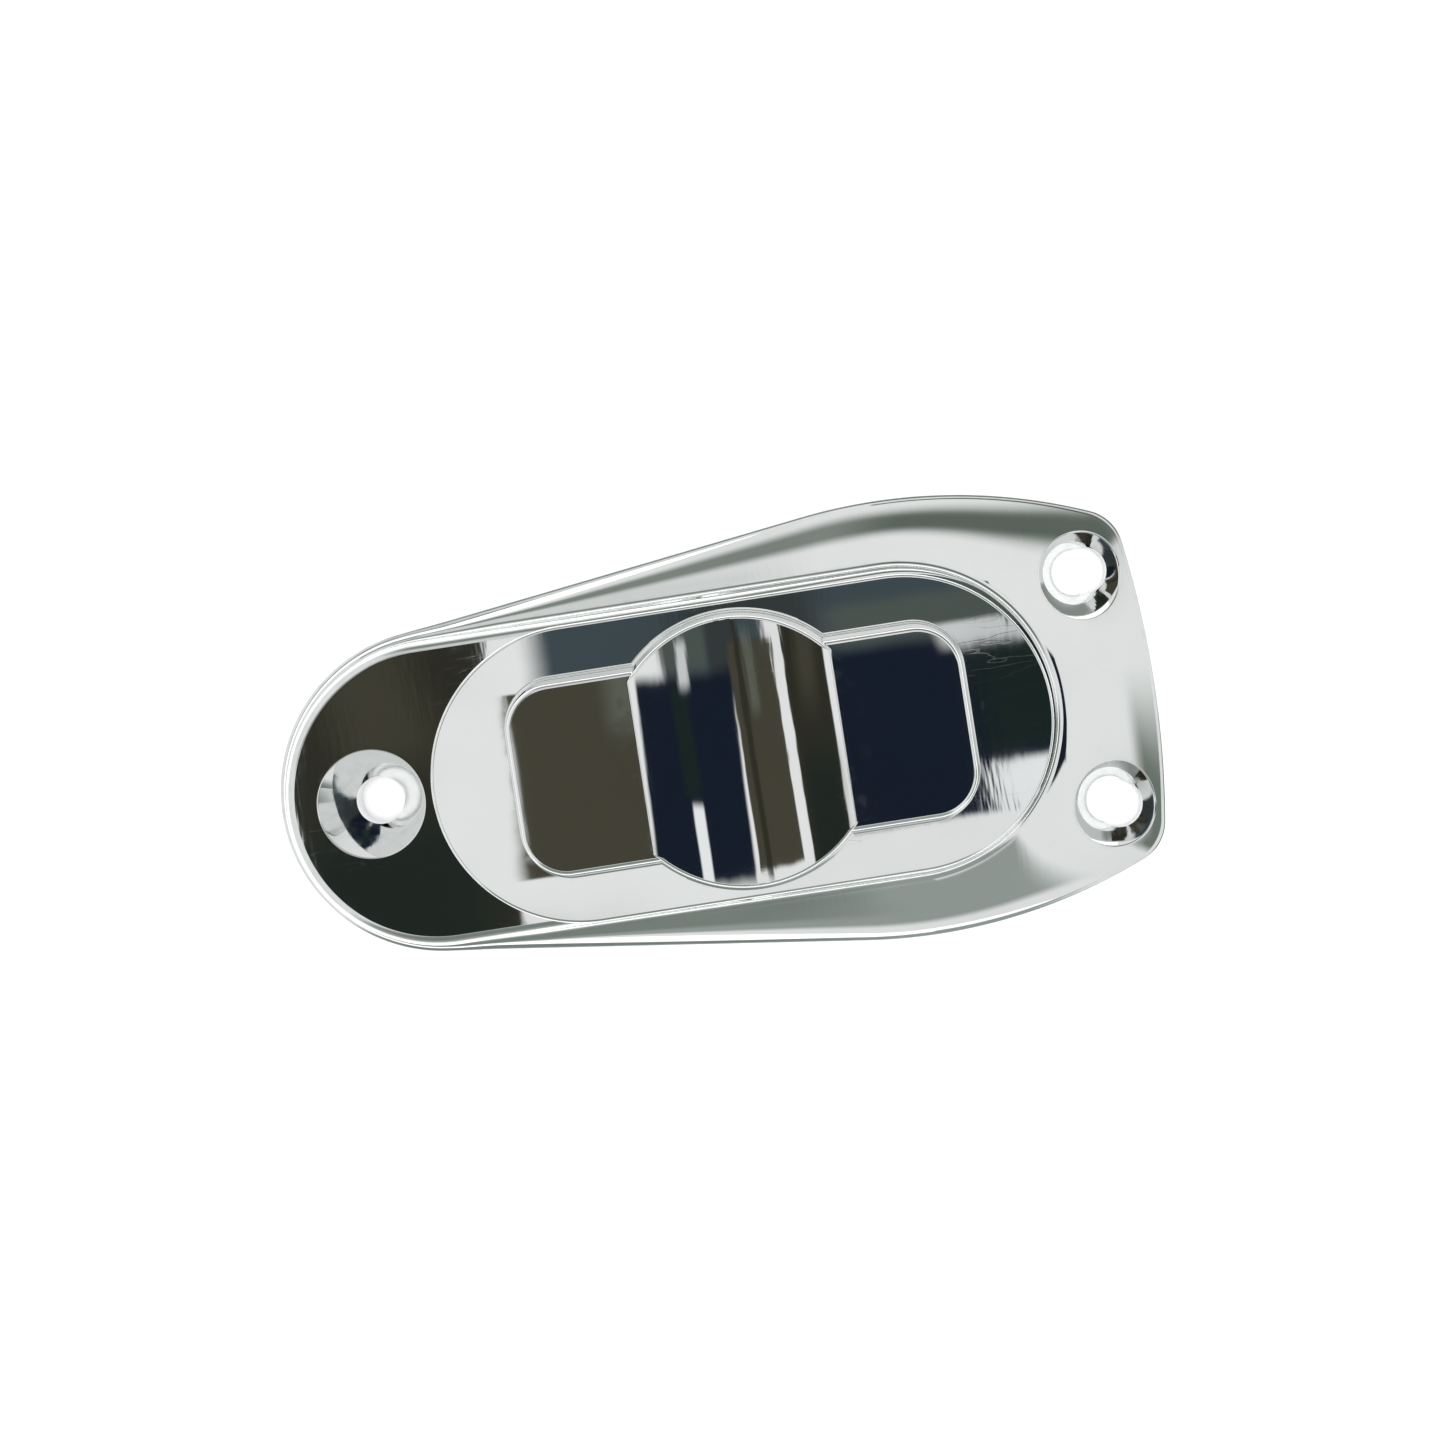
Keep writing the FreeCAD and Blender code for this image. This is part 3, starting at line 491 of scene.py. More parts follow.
def dish_level(x):
    """Height of the finger dish above the frame: a cylinder along Y that reaches the ridges' top."""
    radius = (HUB_HALF_WIDTH ** 2 + DISH_DEPTH ** 2) / (2 * DISH_DEPTH)
    across = np.clip(x - PIVOT_X, -radius, radius)
    return RIDGE_TOP - DISH_DEPTH + radius - np.sqrt(radius ** 2 - across ** 2)


def hub_level(x, y):
    """Height of the finger dish over the hub, and ground level beside it."""
    return np.where(np.abs(x - PIVOT_X) < HUB_HALF_WIDTH, dish_level(x), 0)


def leaning_boss(name, outline, reference, top_level, edge, foot, fold_x=None):
    """Boss on the lever plate. Every outline point carries the same profile along its normal: a hollow
    foot, a wall that leans in as it rises and passes the outline at the height reference, and an upper
    edge rounded between the wall and the surface top_level(x), which then runs to the centre line."""
    normal = outline_normals(outline)
    slope = GRIP_DRAFT / GRIP_HEIGHT
    lean = np.arctan(slope)
    leave = FOOT_LEAVING_ANGLE
    low = plate_level(*(outline + normal * foot).T)
    foot_out = slope * (reference - low) + foot * (1 - np.sin(lean)) / np.cos(lean)
    turn = np.linspace(1.5 * pi - leave, pi + lean, ARC_POINTS)[:, None]
    ones = np.ones(len(outline))[None]
    foot_o = (foot_out + foot * np.cos(turn)) * ones
    foot_h = (low + foot + foot * np.sin(turn)) * ones
    skirt_o = foot_o[:1] + FOOT_SKIRT
    skirt_h = foot_h[:1] - FOOT_SKIRT * np.tan(leave)
    root_h = np.full_like(skirt_h, LEVER_TOP - ROOT_DEPTH)
    out = np.zeros(len(outline))
    for _ in range(SETTLING_ROUNDS):
        x = outline[:, 0] + normal[:, 0] * out
        height = top_level(x)
        out = slope * (reference - height)
    rise = (top_level(x + SLOPE_STEP) - height) / SLOPE_STEP * normal[:, 0]
    tilt = np.arctan(rise)
    determinant = np.cos(lean) * np.cos(tilt) + np.sin(lean) * np.sin(tilt)
    centre_o = out - edge * (np.cos(tilt) - np.sin(lean)) / determinant
    centre_h = height - edge * (np.cos(lean) + np.sin(tilt)) / determinant
    share = np.linspace(0, 1, EDGE_POINTS)[:, None]
    angle = lean + (pi / 2 + tilt - lean) * share
    edge_o = centre_o + edge * np.cos(angle)
    edge_h = centre_h + edge * np.sin(angle)
    inner_o = edge_o[-1:] - EDGE_LANDING
    offsets = np.concatenate([skirt_o, skirt_o, foot_o, edge_o, inner_o])
    heights = np.concatenate([root_h, skirt_h, foot_h, edge_h, edge_h[-1:]])
    plan = outline[None] + normal[None] * offsets[..., None]
    heights[-1] = top_level(plan[-1, :, 0])
    rows = np.concatenate([plan, heights[..., None]], axis=-1)
    first = rows[:1] * np.array([1, 0, 1])
    last = rows[-1:] * np.array([1, 0, 1])
    if fold_x is not None:
        first[..., 0] = fold_x
        last[..., 0] = fold_x
    return ring_grid(name, np.concatenate([first, rows, last]))


def pad_level(x, y=None):
    """Height of the two pads: the same everywhere."""
    return np.full_like(x, GRIP_TOP)


def grip_pad(side):
    """One pad: a rounded block whose inner end stops inside the hub."""
    ends = sorted((PIVOT_X + side * GRIP_LENGTH / 2, PIVOT_X + side * PAD_INNER_END))
    corners = (PAD_INNER_CORNER, GRIP_CORNER_RADIUS)[::side]
    outline = rounded_outline(*ends, GRIP_WIDTH / 2, *corners, PAD_CORNER_POINTS)
    return leaning_boss("handle_pad", outline, GRIP_TOP, pad_level, GRIP_EDGE_RADIUS,
                        GRIP_FOOT_RADIUS, sum(ends) / 2)


def hub():
    """Dished hub between the pads. Its edge is rounded, and sharper along the two ridges."""
    outline = hub_outline()
    beside = np.abs(outline[:, 0] - PIVOT_X) / HUB_HALF_WIDTH
    sharpness = smooth_step((beside - RIDGE_START) / RIDGE_BLEND)
    edge = HUB_EDGE_RADIUS + (RIDGE_EDGE_RADIUS - HUB_EDGE_RADIUS) * sharpness
    return leaning_boss("handle_hub", outline, RIDGE_TOP, dish_level, edge, GRIP_FOOT_RADIUS)


# ---- cutting and joining ----
def prism(name, outline, spine, low, high):
    """Cutter: the outline carried upright from low to high, closed at both ends on its spine, which
    gives one inner point for each outline point."""
    rings = np.stack([spine, outline, outline, spine])
    levels = np.broadcast_to(np.array([low, low, high, high])[:, None], rings.shape[:2])
    return ring_grid(name, np.concatenate([rings, levels[..., None]], axis=-1))


def upright(name, centre, radius, low, high, count=BAR_POINTS):
    """Cutter: upright round bar."""
    around = arc(centre, radius, 0, 2 * pi, count + 1)[:-1]
    return prism(name, around, np.broadcast_to(np.array(centre, float), around.shape), low, high)


def obround_bar(name, left_x, right_x, radius, low, high):
    """Cutter: upright stadium bar."""
    outline = obround(left_x, right_x, radius)
    spine = np.stack([np.clip(outline[:, 0], left_x, right_x), np.zeros(len(outline))], axis=-1)
    return prism(name, outline, spine, low, high)


def rounded_bar(name, left_x, right_x, half_y, corner, low, high):
    """Cutter: upright bar with a round-cornered rectangular section."""
    outline = rounded_outline(left_x, right_x, half_y, corner, corner, ARC_POINTS)
    middle = np.array([(left_x + right_x) / 2, 0.0])
    return prism(name, outline, np.broadcast_to(middle, outline.shape), low, high)


def bent_slot(name, centre, radius, half_width, start, end, low, high):
    """Cutter: a slot bent round a centre. Its outline is the arc radius + half_width from start to
    end, a half circle about the arc's end, the arc radius - half_width back, and another half circle."""
    def spot(angle):
        return centre + radius * np.stack([np.cos(angle), np.sin(angle)], axis=-1)
    angle = np.linspace(start, end, SLOT_POINTS)
    cap = np.linspace(0, pi, SLOT_CAP_POINTS)[1:-1]
    outline = np.concatenate([
        arc(centre, radius + half_width, start, end, SLOT_POINTS),
        spot(np.array(end)) + half_width * np.stack([np.cos(end + cap), np.sin(end + cap)], axis=-1),
        arc(centre, radius - half_width, end, start, SLOT_POINTS),
        spot(np.array(start)) - half_width * np.stack([np.cos(start + cap), np.sin(start + cap)], axis=-1),
    ])
    spine = spot(np.concatenate([angle, np.full(len(cap), end), angle[::-1], np.full(len(cap), start)]))
    return prism(name, outline, spine, low, high)


def carve(piece, cutters, operation="DIFFERENCE"):
    """Cuts, or joins, each cutter in turn and removes it."""
    for cutter in cutters:
        step = piece.modifiers.new(cutter.name, "BOOLEAN")
        step.operation = operation
        step.solver = "MANIFOLD"
        step.object = cutter
    bpy.context.view_layer.update()
    result = bpy.data.meshes.new_from_object(piece.evaluated_get(bpy.context.evaluated_depsgraph_get()))
    result.materials.clear()
    piece.modifiers.clear()
    piece.data = result
    result.name = piece.name
    for cutter in cutters:
        bpy.data.objects.remove(cutter)
    return piece


def bend_attribute(piece):
    """Stores on every vertex how sharply the surface turns there: the largest angle between the two
    faces of any edge at the vertex, as a share of EDGE_FULL_TURN."""
    mesh = piece.data
    edge_of = np.empty(len(mesh.loops), np.int32)
    mesh.loops.foreach_get("edge_index", edge_of)
    sizes = np.empty(len(mesh.polygons), np.int32)
    mesh.polygons.foreach_get("loop_total", sizes)
    normals = np.empty(len(mesh.polygons) * 3, np.float32)
    mesh.polygon_normals.foreach_get("vector", normals)
    face_of = np.repeat(np.arange(len(sizes)), sizes)
    order = np.argsort(edge_of, kind="stable")
    pair = face_of[order].reshape(-1, 2)
    normals = normals.reshape(-1, 3)
    turn = np.arccos(np.clip((normals[pair[:, 0]] * normals[pair[:, 1]]).sum(axis=1), -1, 1))
    ends = np.empty(len(mesh.edges) * 2, np.int32)
    mesh.edges.foreach_get("vertices", ends)
    most = np.zeros(len(mesh.vertices), np.float32)
    np.maximum.at(most, ends, np.repeat(turn, 2).astype(np.float32))
    layer = mesh.attributes.new("edge_turn", "FLOAT", "POINT")
    layer.data.foreach_set("value", np.clip(most / EDGE_FULL_TURN, 0, 1))


def polish(piece, surfaces):
    """Smooth shading over all but real edges. Corners that lie on one of the surfaces, each given by
    its height as a function of x and y and by a tolerance, take that surface's own normal
    (-dz/dx, -dz/dy, 1), so that cuts and joins leave the mirror faces undisturbed."""
    mesh = piece.data
    mesh.shade_smooth()
    mesh.set_sharp_from_angle(angle=SMOOTH_ANGLE)
    bend_attribute(piece)
    where = np.empty(len(mesh.vertices) * 3, np.float32)
    mesh.vertices.foreach_get("co", where)
    x, y, z = where.reshape(-1, 3).T / MM
    corner = np.empty(len(mesh.loops), np.int32)
    mesh.loops.foreach_get("vertex_index", corner)
    normals = np.empty(len(mesh.loops) * 3, np.float32)
    mesh.corner_normals.foreach_get("vector", normals)
    normals = normals.reshape(-1, 3)
    faces = np.empty(len(mesh.polygons) * 3, np.float32)
    mesh.polygon_normals.foreach_get("vector", faces)
    sizes = np.empty(len(mesh.polygons), np.int32)
    mesh.polygons.foreach_get("loop_total", sizes)
    faces = np.repeat(faces.reshape(-1, 3), sizes, axis=0)
    step = SLOPE_STEP
    for level, tolerance in surfaces:
        slope_x = (level(x + step, y) - level(x - step, y)) / (2 * step)
        slope_y = (level(x, y + step) - level(x, y - step)) / (2 * step)
        true = np.stack([-slope_x, -slope_y, np.ones_like(x)], axis=-1)
        true /= np.sqrt((true ** 2).sum(axis=-1, keepdims=True))
        near = (np.abs(z - level(x, y)) < tolerance)[corner]
        near &= (faces * true[corner]).sum(axis=-1) > np.cos(SMOOTH_ANGLE)
        normals[near] = true[corner][near]
    mesh.normals_split_custom_set(normals.tolist())
    return piece


def chamber():
    """Cutter for the hollow behind the plateau: a stadium bar less the four posts and the boss."""
    left = CHAMBER_LEFT_X + CHAMBER_HALF_WIDTH
    right = CHAMBER_RIGHT_X - CHAMBER_HALF_WIDTH
    hollow = obround_bar("chamber", left, right, CHAMBER_HALF_WIDTH, COVER_TOP - CUT_OVERLAP, ROOF_BOTTOM)
    solid = [upright("post", centre, POST_RADIUS, -CUT_BEYOND, PLATEAU_HEIGHT) for centre in POSTS]
    solid.append(upright("boss", PIVOT, PIVOT_BOSS_RADIUS, BOSS_BOTTOM, PLATEAU_HEIGHT))
    return carve(hollow, solid)


def build_base():
    """Base casting: skin less its screw holes, chamber, cover rebate, end pocket and bores."""
    left = CHAMBER_LEFT_X + CHAMBER_HALF_WIDTH
    right = CHAMBER_RIGHT_X - CHAMBER_HALF_WIDTH
    core_right = END_X - END_CORE_INSET
    low = -CUT_BEYOND
    high = PLATEAU_HEIGHT + CUT_BEYOND
    nose_centre = (NOSE_X + NOSE_HOLE_INSET, 0.0)
    cutters = [countersink("nose_hole", nose_centre, NOSE_SEAT_HEIGHT, plateau_level)]
    for side in (-1, 1):
        centre = (END_X - END_HOLE_INSET, side * END_HOLE_SPACING / 2)
        cutters.append(countersink("end_hole", centre, END_SEAT_HEIGHT, skin_level))
    cutters += [
        chamber(),
        obround_bar("rebate", left, right, CHAMBER_HALF_WIDTH + COVER_LEDGE, low, COVER_TOP),
        rounded_bar("end_pocket", core_right - END_CORE_LENGTH, core_right, END_CORE_WIDTH / 2,
                    END_CORE_CORNER, low, END_CORE_DEPTH),
        upright("bush_bore", PIVOT, BUSH_RADIUS + SEAT_GAP, low, BUSH_TOP),
        upright("seal_bore", PIVOT, SEAL_SEAT_RADIUS, BUSH_TOP - CUT_OVERLAP, high),
        upright("pin_hole", STOP_PIN, STOP_PIN_RADIUS, ROOF_BOTTOM - CUT_BEYOND, high),
    ]
    cutters += [upright("pilot", centre, PILOT_RADIUS, low, PILOT_TOP, PILOT_POINTS) for centre in POSTS]
    return polish(carve(base_body(), cutters),
                  [(plateau_level, SURFACE_TOLERANCE), (skin_level, FLANGE_TOLERANCE)])


def build_handle():
    """Lever: plate, pads and hub in one casting, with its hollows and seats cut from below."""
    body = carve(lever_plate(), [grip_pad(-1), grip_pad(1), hub()], "UNION")
    low = LEVER_BOTTOM - CUT_BEYOND
    inner = HUB_HALF_WIDTH + CORE_WALL
    outer = GRIP_LENGTH / 2 - CORE_WALL
    cutters = []
    for side, node in ((-1, "spur_pad_left"), (1, "spur_pad_right")):
        ends = sorted((PIVOT_X + side * inner, PIVOT_X + side * outer))
        cutters.append(rounded_bar("pad_hollow", *ends, GRIP_WIDTH / 2 - CORE_WALL, CORE_WALL,
                                   low, GRIP_TOP - CORE_WALL))
        pad_low, pad_high = frame_mm(node)
        cutters.append(upright("pad_seat", (pad_low + pad_high)[:2] / 2,
                               (pad_high - pad_low)[0] / 2 + SEAT_GAP, low, pad_high[2]))
    groove_radius = STOP_PIN_RADIUS + STOP_GROOVE_GAP
    cutters.append(bent_slot("stop_groove", PIVOT, PIVOT_X - STOP_PIN[0], groove_radius, pi / 2,
                             3 * pi / 2, low, STOP_PIN_TOP + STOP_GROOVE_GAP))
    cutters.append(upright("spindle_neck", PIVOT, JOURNAL_RADIUS + SEAT_GAP, low,
                           LEVER_BOTTOM + SPINDLE_NECK))
    half_head = SPINDLE_HEAD_SIDE / 2 + SEAT_GAP
    cutters.append(rounded_bar("spindle_head", PIVOT_X - half_head, PIVOT_X + half_head, half_head,
                               SPINDLE_HEAD_CORNER, LEVER_BOTTOM + SPINDLE_NECK - STEP_OVERLAP,
                               SPINDLE_TOP + SEAT_GAP))
    body = carve(body, cutters)
    body.name = "handle_casting_shell"
    return polish(body, [(level, SURFACE_TOLERANCE) for level in (plate_level, pad_level, hub_level)])


# ---- nodes ----
def add(tree, kind, values=(), **settings):
    """New node. values fill its inputs in turn: a socket is linked, None is left, all else is set."""
    node = tree.nodes.new(kind)
    for name, value in settings.items():
        setattr(node, name, value)
    for place, value in zip(node.inputs, values):
        if isinstance(value, bpy.types.NodeSocket):
            tree.links.new(value, place)
        elif value is not None:
            place.default_value = value
    return node


def maths(tree, operation, *values):
    """Output of a Math node."""
    return add(tree, "ShaderNodeMath", values, operation=operation).outputs[0]


def ramp(tree, value, low, high, to_low=0.0, to_high=1.0):
    """value taken smoothly from to_low at low to to_high at high, and held beyond."""
    return add(tree, "ShaderNodeMapRange", (value, low, high, to_low, to_high),
               interpolation_type="SMOOTHSTEP").outputs[0]


def blend(tree, share, first, second):
    """Colour between first and second."""
    node = add(tree, "ShaderNodeMix", (share,), data_type="RGBA")
    for place, value in ((node.inputs[6], first), (node.inputs[7], second)):
        if isinstance(value, bpy.types.NodeSocket):
            tree.links.new(value, place)
        else:
            place.default_value = (*value, 1)
    return node.outputs[2]


def noise(tree, vector, scale, detail=2.0, stretch=(1, 1, 1), turn=0.0):
    """Noise from 0 to 1 on a vector that is stretched and turned about Z."""
    place = add(tree, "ShaderNodeMapping", (vector, None, (0, 0, turn), stretch))
    return add(tree, "ShaderNodeTexNoise", (place.outputs[0], None, scale, detail)).outputs[0]


def group(name, inputs, outputs):
    """New shader group with named float or vector sockets; returns it with its two end nodes."""
    tree = bpy.data.node_groups.new(name, "ShaderNodeTree")
    for title, kind in inputs:
        tree.interface.new_socket(title, in_out="INPUT", socket_type="NodeSocket" + kind)
    for title, kind in outputs:
        tree.interface.new_socket(title, in_out="OUTPUT", socket_type="NodeSocket" + kind)
    return tree, tree.nodes.new("NodeGroupInput"), tree.nodes.new("NodeGroupOutput")


def use(tree, shared, **values):
    """Places a group; values are given by socket name with spaces as underscores."""
    node = tree.nodes.new("ShaderNodeGroup")
    node.node_tree = shared
    for name, value in values.items():
        place = node.inputs[name.replace("_", " ")]
        if isinstance(value, bpy.types.NodeSocket):
            tree.links.new(value, place)
        else:
            place.default_value = value
    return node


def grain_group():
    """Fine grain: noise stretched along X against Y by Stretch, with a broader noise beside it."""
    tree, start, end = group("fine_grain", [("Vector", "Vector"), ("Scale", "Float"), ("Stretch", "Float")],
                             [("Height", "Float"), ("Broad", "Float")])
    squeeze = add(tree, "ShaderNodeCombineXYZ", (1.0, start.outputs["Stretch"], 1.0))
    spread = add(tree, "ShaderNodeVectorMath", (start.outputs["Vector"], squeeze.outputs[0]),
                 operation="MULTIPLY")
    fine = add(tree, "ShaderNodeTexNoise", (spread.outputs[0], None, start.outputs["Scale"], 4.0))
    wide = maths(tree, "MULTIPLY", start.outputs["Scale"], 0.07)
    broad = add(tree, "ShaderNodeTexNoise", (start.outputs["Vector"], None, wide, 2.0))
    tree.links.new(fine.outputs[0], end.inputs["Height"])
    tree.links.new(broad.outputs[0], end.inputs["Broad"])
    return tree


def scuff_group():
    """Scuffs: a band of long thin noise that crosses its middle value, broken up by a broad noise.
    Amount widens the band."""
    tree, start, end = group("scuffs", [("Vector", "Vector"), ("Scale", "Float"), ("Amount", "Float")],
                             [("Mask", "Float")])
    place = add(tree, "ShaderNodeMapping", (start.outputs["Vector"], None, (0.2, 0.1, 0.6), (0.12, 1, 1)))
    thin = add(tree, "ShaderNodeTexNoise", (place.outputs[0], None, start.outputs["Scale"], 3.0))
    middle = maths(tree, "ABSOLUTE", maths(tree, "SUBTRACT", thin.outputs[0], 0.5))
    width = maths(tree, "MULTIPLY", start.outputs["Amount"], 0.02)
    line = maths(tree, "SUBTRACT", 1.0, ramp(tree, middle, 0.0, width))
    wide = maths(tree, "MULTIPLY", start.outputs["Scale"], 0.15)
    broad = add(tree, "ShaderNodeTexNoise", (start.outputs["Vector"], None, wide, 2.0))
    patch = ramp(tree, broad.outputs[0], 0.52, 0.68)
    tree.links.new(maths(tree, "MULTIPLY", line, patch), end.inputs["Mask"])
    return tree


def speck_group():
    """Dust: small round spots about scattered points, only where a random value passes Share."""
    tree, start, end = group("dust_specks", [("Vector", "Vector"), ("Scale", "Float"), ("Size", "Float"),
                                             ("Share", "Float")], [("Mask", "Float")])
    cells = add(tree, "ShaderNodeTexVoronoi", (start.outputs["Vector"], None, start.outputs["Scale"]))
    spot = maths(tree, "SUBTRACT", 1.0, ramp(tree, cells.outputs["Distance"], 0.0, start.outputs["Size"]))
    pick = add(tree, "ShaderNodeSeparateColor", (cells.outputs["Color"],)).outputs[0]
    chosen = maths(tree, "LESS_THAN", pick, start.outputs["Share"])
    tree.links.new(maths(tree, "MULTIPLY", spot, chosen), end.inputs["Mask"])
    return tree


def ripple_group():
    """Buffing marks: slow swells, and fine slanted ripples that come and go. Height is their sum."""
    tree, start, end = group("buffing_marks", [("Vector", "Vector"), ("Swell", "Float"), ("Ripple", "Float")],
                             [("Height", "Float"), ("Broad", "Float")])
    swell = noise(tree, start.outputs["Vector"], 90.0, 1.0)
    ripple = noise(tree, start.outputs["Vector"], 260.0, 1.0, (6.0, 0.9, 1.0), radians(28))
    patch = ramp(tree, noise(tree, start.outputs["Vector"], 55.0), 0.42, 0.66)
    fine = maths(tree, "MULTIPLY", maths(tree, "MULTIPLY", ripple, patch), start.outputs["Ripple"])
    whole = maths(tree, "ADD", maths(tree, "MULTIPLY", swell, start.outputs["Swell"]), fine)
    tree.links.new(whole, end.inputs["Height"])
    tree.links.new(patch, end.inputs["Broad"])
    return tree


# ---- materials ----
def new_material(name, metallic):
    """Material with its tree, its shader and the object's own coordinates."""
    material = bpy.data.materials.new(name)
    material.use_nodes = True
    tree = material.node_tree
    shader = tree.nodes["Principled BSDF"]
    shader.inputs["Metallic"].default_value = metallic
    place = tree.nodes.new("ShaderNodeTexCoord").outputs["Object"]
    return material, tree, shader, place


def chrome_material(name, groups, tone, shade):
    """Mirror chrome plate: buffing marks in its normal, a trace of haze and scuffs in its roughness,
    duller edges where the surface turns sharply, and a few specks of dust."""
    material, tree, shader, place = new_material(name, 1.0)
    marks = use(tree, groups["ripples"], Vector=place, Swell=CHROME_SWELL, Ripple=CHROME_RIPPLE)
    scuffs = use(tree, groups["scuffs"], Vector=place, Scale=420.0, Amount=0.5)
    dust = use(tree, groups["specks"], Vector=place, Scale=420.0, Size=0.035, Share=0.03)
    edge = add(tree, "ShaderNodeAttribute", attribute_name="edge_turn").outputs["Fac"]
    broken = maths(tree, "MULTIPLY", edge, ramp(tree, noise(tree, place, 700.0), 0.4, 0.7))
    colour = blend(tree, marks.outputs["Broad"], tone, shade)
    colour = blend(tree, maths(tree, "MULTIPLY", broken, 0.25), colour, CHROME_EDGE)
    colour = blend(tree, dust.outputs["Mask"], colour, DUST_COLOUR)
    haze = ramp(tree, marks.outputs["Broad"], 0.0, 1.0, 0.018, 0.032)
    rough = maths(tree, "ADD", haze, maths(tree, "MULTIPLY", scuffs.outputs["Mask"], 0.05))
    rough = maths(tree, "ADD", rough, maths(tree, "MULTIPLY", broken, 0.07))
    rough = maths(tree, "ADD", rough, maths(tree, "MULTIPLY", dust.outputs["Mask"], 0.5))
    height = maths(tree, "SUBTRACT", marks.outputs["Height"],
                   maths(tree, "MULTIPLY", scuffs.outputs["Mask"], 0.0002))
    bump = add(tree, "ShaderNodeBump", (1.0, MM))
    tree.links.new(height, bump.inputs["Height"])
    tree.links.new(bump.outputs[0], shader.inputs["Normal"])
    tree.links.new(colour, shader.inputs["Base Color"])
    tree.links.new(rough, shader.inputs["Roughness"])
    return material


def worked_material(name, groups, metallic, tone, shade, rough, scale, stretch, depth):
    """Plain finish of an inner part: two tones over a broad noise, grain in its height and roughness,
    scuffs and a little dust."""
    material, tree, shader, place = new_material(name, metallic)
    grain = use(tree, groups["grain"], Vector=place, Scale=scale, Stretch=stretch)
    scuffs = use(tree, groups["scuffs"], Vector=place, Scale=900.0, Amount=1.0)
    dust = use(tree, groups["specks"], Vector=place, Scale=800.0, Size=0.12, Share=0.06)
    colour = blend(tree, grain.outputs["Broad"], tone, shade)
    worn = tuple(min(1.0, 1.35 * value + 0.03) for value in tone)
    colour = blend(tree, maths(tree, "MULTIPLY", scuffs.outputs["Mask"], 0.6), colour, worn)
    colour = blend(tree, maths(tree, "MULTIPLY", dust.outputs["Mask"], 0.7), colour, DUST_COLOUR)
    base = ramp(tree, grain.outputs["Height"], 0.3, 0.7, rough - 0.08, rough + 0.08)
    base = maths(tree, "SUBTRACT", base, maths(tree, "MULTIPLY", scuffs.outputs["Mask"], 0.1))
    bump = add(tree, "ShaderNodeBump", (1.0, depth * MM))
    height = maths(tree, "SUBTRACT", grain.outputs["Height"], scuffs.outputs["Mask"])
    tree.links.new(height, bump.inputs["Height"])
    tree.links.new(bump.outputs[0], shader.inputs["Normal"])
    tree.links.new(colour, shader.inputs["Base Color"])
    tree.links.new(base, shader.inputs["Roughness"])
    return material


# ---- stage ----
def build_floor():
    """Plain pale floor."""
    side = 1.5
    corners = np.array([[-side, -side, 0], [side, -side, 0], [side, side, 0], [-side, side, 0]]) / MM
    floor = mesh_object("floor", corners, np.array([[0, 1, 2, 3]]))
    material = bpy.data.materials.new("pale_floor")
    material.use_nodes = True
    shader = material.node_tree.nodes["Principled BSDF"]
    shader.inputs["Base Color"].default_value = (0.93, 0.93, 0.93, 1)
    shader.inputs["Roughness"].default_value = 0.9
    shader.inputs["Specular IOR Level"].default_value = 0.0
    floor.data.materials.append(material)


def soft_card(tree, across, along, left, right, low, high, edge):
    """Mask of a soft-edged card between left and right, and between low and high."""
    mask = maths(tree, "MULTIPLY", ramp(tree, across, left - edge, left + edge),
                 ramp(tree, across, right - edge, right + edge, 1.0, 0.0))
    mask = maths(tree, "MULTIPLY", mask, ramp(tree, along, low - edge, low + edge))
    return maths(tree, "MULTIPLY", mask, ramp(tree, along, high - edge, high + edge, 1.0, 0.0))


def build_world():
    """Studio surround. Overhead cards are laid out on a plan of the sky whose middle is straight up:
    right and up are degrees off the zenith along X and Y, with a slight waver. Wall cards go by
    bearing and by degrees off the zenith. The camera itself sees plain white beyond the floor."""
    world = bpy.data.worlds.new("studio")
    world.use_nodes = True
    tree = world.node_tree
    sky = tree.nodes.new("ShaderNodeTexCoord").outputs["Generated"]
    x, y, z = add(tree, "ShaderNodeSeparateXYZ", (sky,)).outputs
    off = maths(tree, "DEGREES", maths(tree, "ARCCOSINE", z))
    bearing = maths(tree, "DEGREES", maths(tree, "ARCTAN2", y, x))
    squares = maths(tree, "ADD", maths(tree, "MULTIPLY", x, x), maths(tree, "MULTIPLY", y, y))
    flat = maths(tree, "MAXIMUM", maths(tree, "SQRT", squares), ZENITH_GUARD)
    spread = maths(tree, "DIVIDE", off, flat)
    waver = add(tree, "ShaderNodeTexNoise", (sky, None, CARD_WAVER_SCALE, CARD_WAVER_DETAIL)).outputs[0]
    waver = maths(tree, "MULTIPLY", maths(tree, "SUBTRACT", waver, 0.5), CARD_WAVER)
    right = maths(tree, "ADD", maths(tree, "MULTIPLY", x, spread), waver)
    up = maths(tree, "SUBTRACT", maths(tree, "MULTIPLY", y, spread), waver)
    colour = blend(tree, ramp(tree, off, NEAR_ZENITH, FAR_FROM_ZENITH), SURROUND_NEAR, SURROUND_FAR)
    for left, far, low, high, edge, tint, share in WALL_CARDS:
        mask = soft_card(tree, bearing, off, left, far, low, high, edge)
        colour = blend(tree, maths(tree, "MULTIPLY", mask, share), colour, tint)
    for left, far, low, high, edge, lean, tint, share in CEILING_CARDS:
        leaned = maths(tree, "ADD", right, maths(tree, "MULTIPLY", up, lean))
        mask = soft_card(tree, leaned, up, left, far, low, high, edge)
        colour = blend(tree, maths(tree, "MULTIPLY", mask, share), colour, tint)
    shown = tree.nodes.new("ShaderNodeLightPath").outputs["Is Camera Ray"]
    colour = blend(tree, shown, colour, (1.0, 1.0, 1.0))
    tree.links.new(colour, tree.nodes["Background"].inputs["Color"])
    bpy.context.scene.world = world


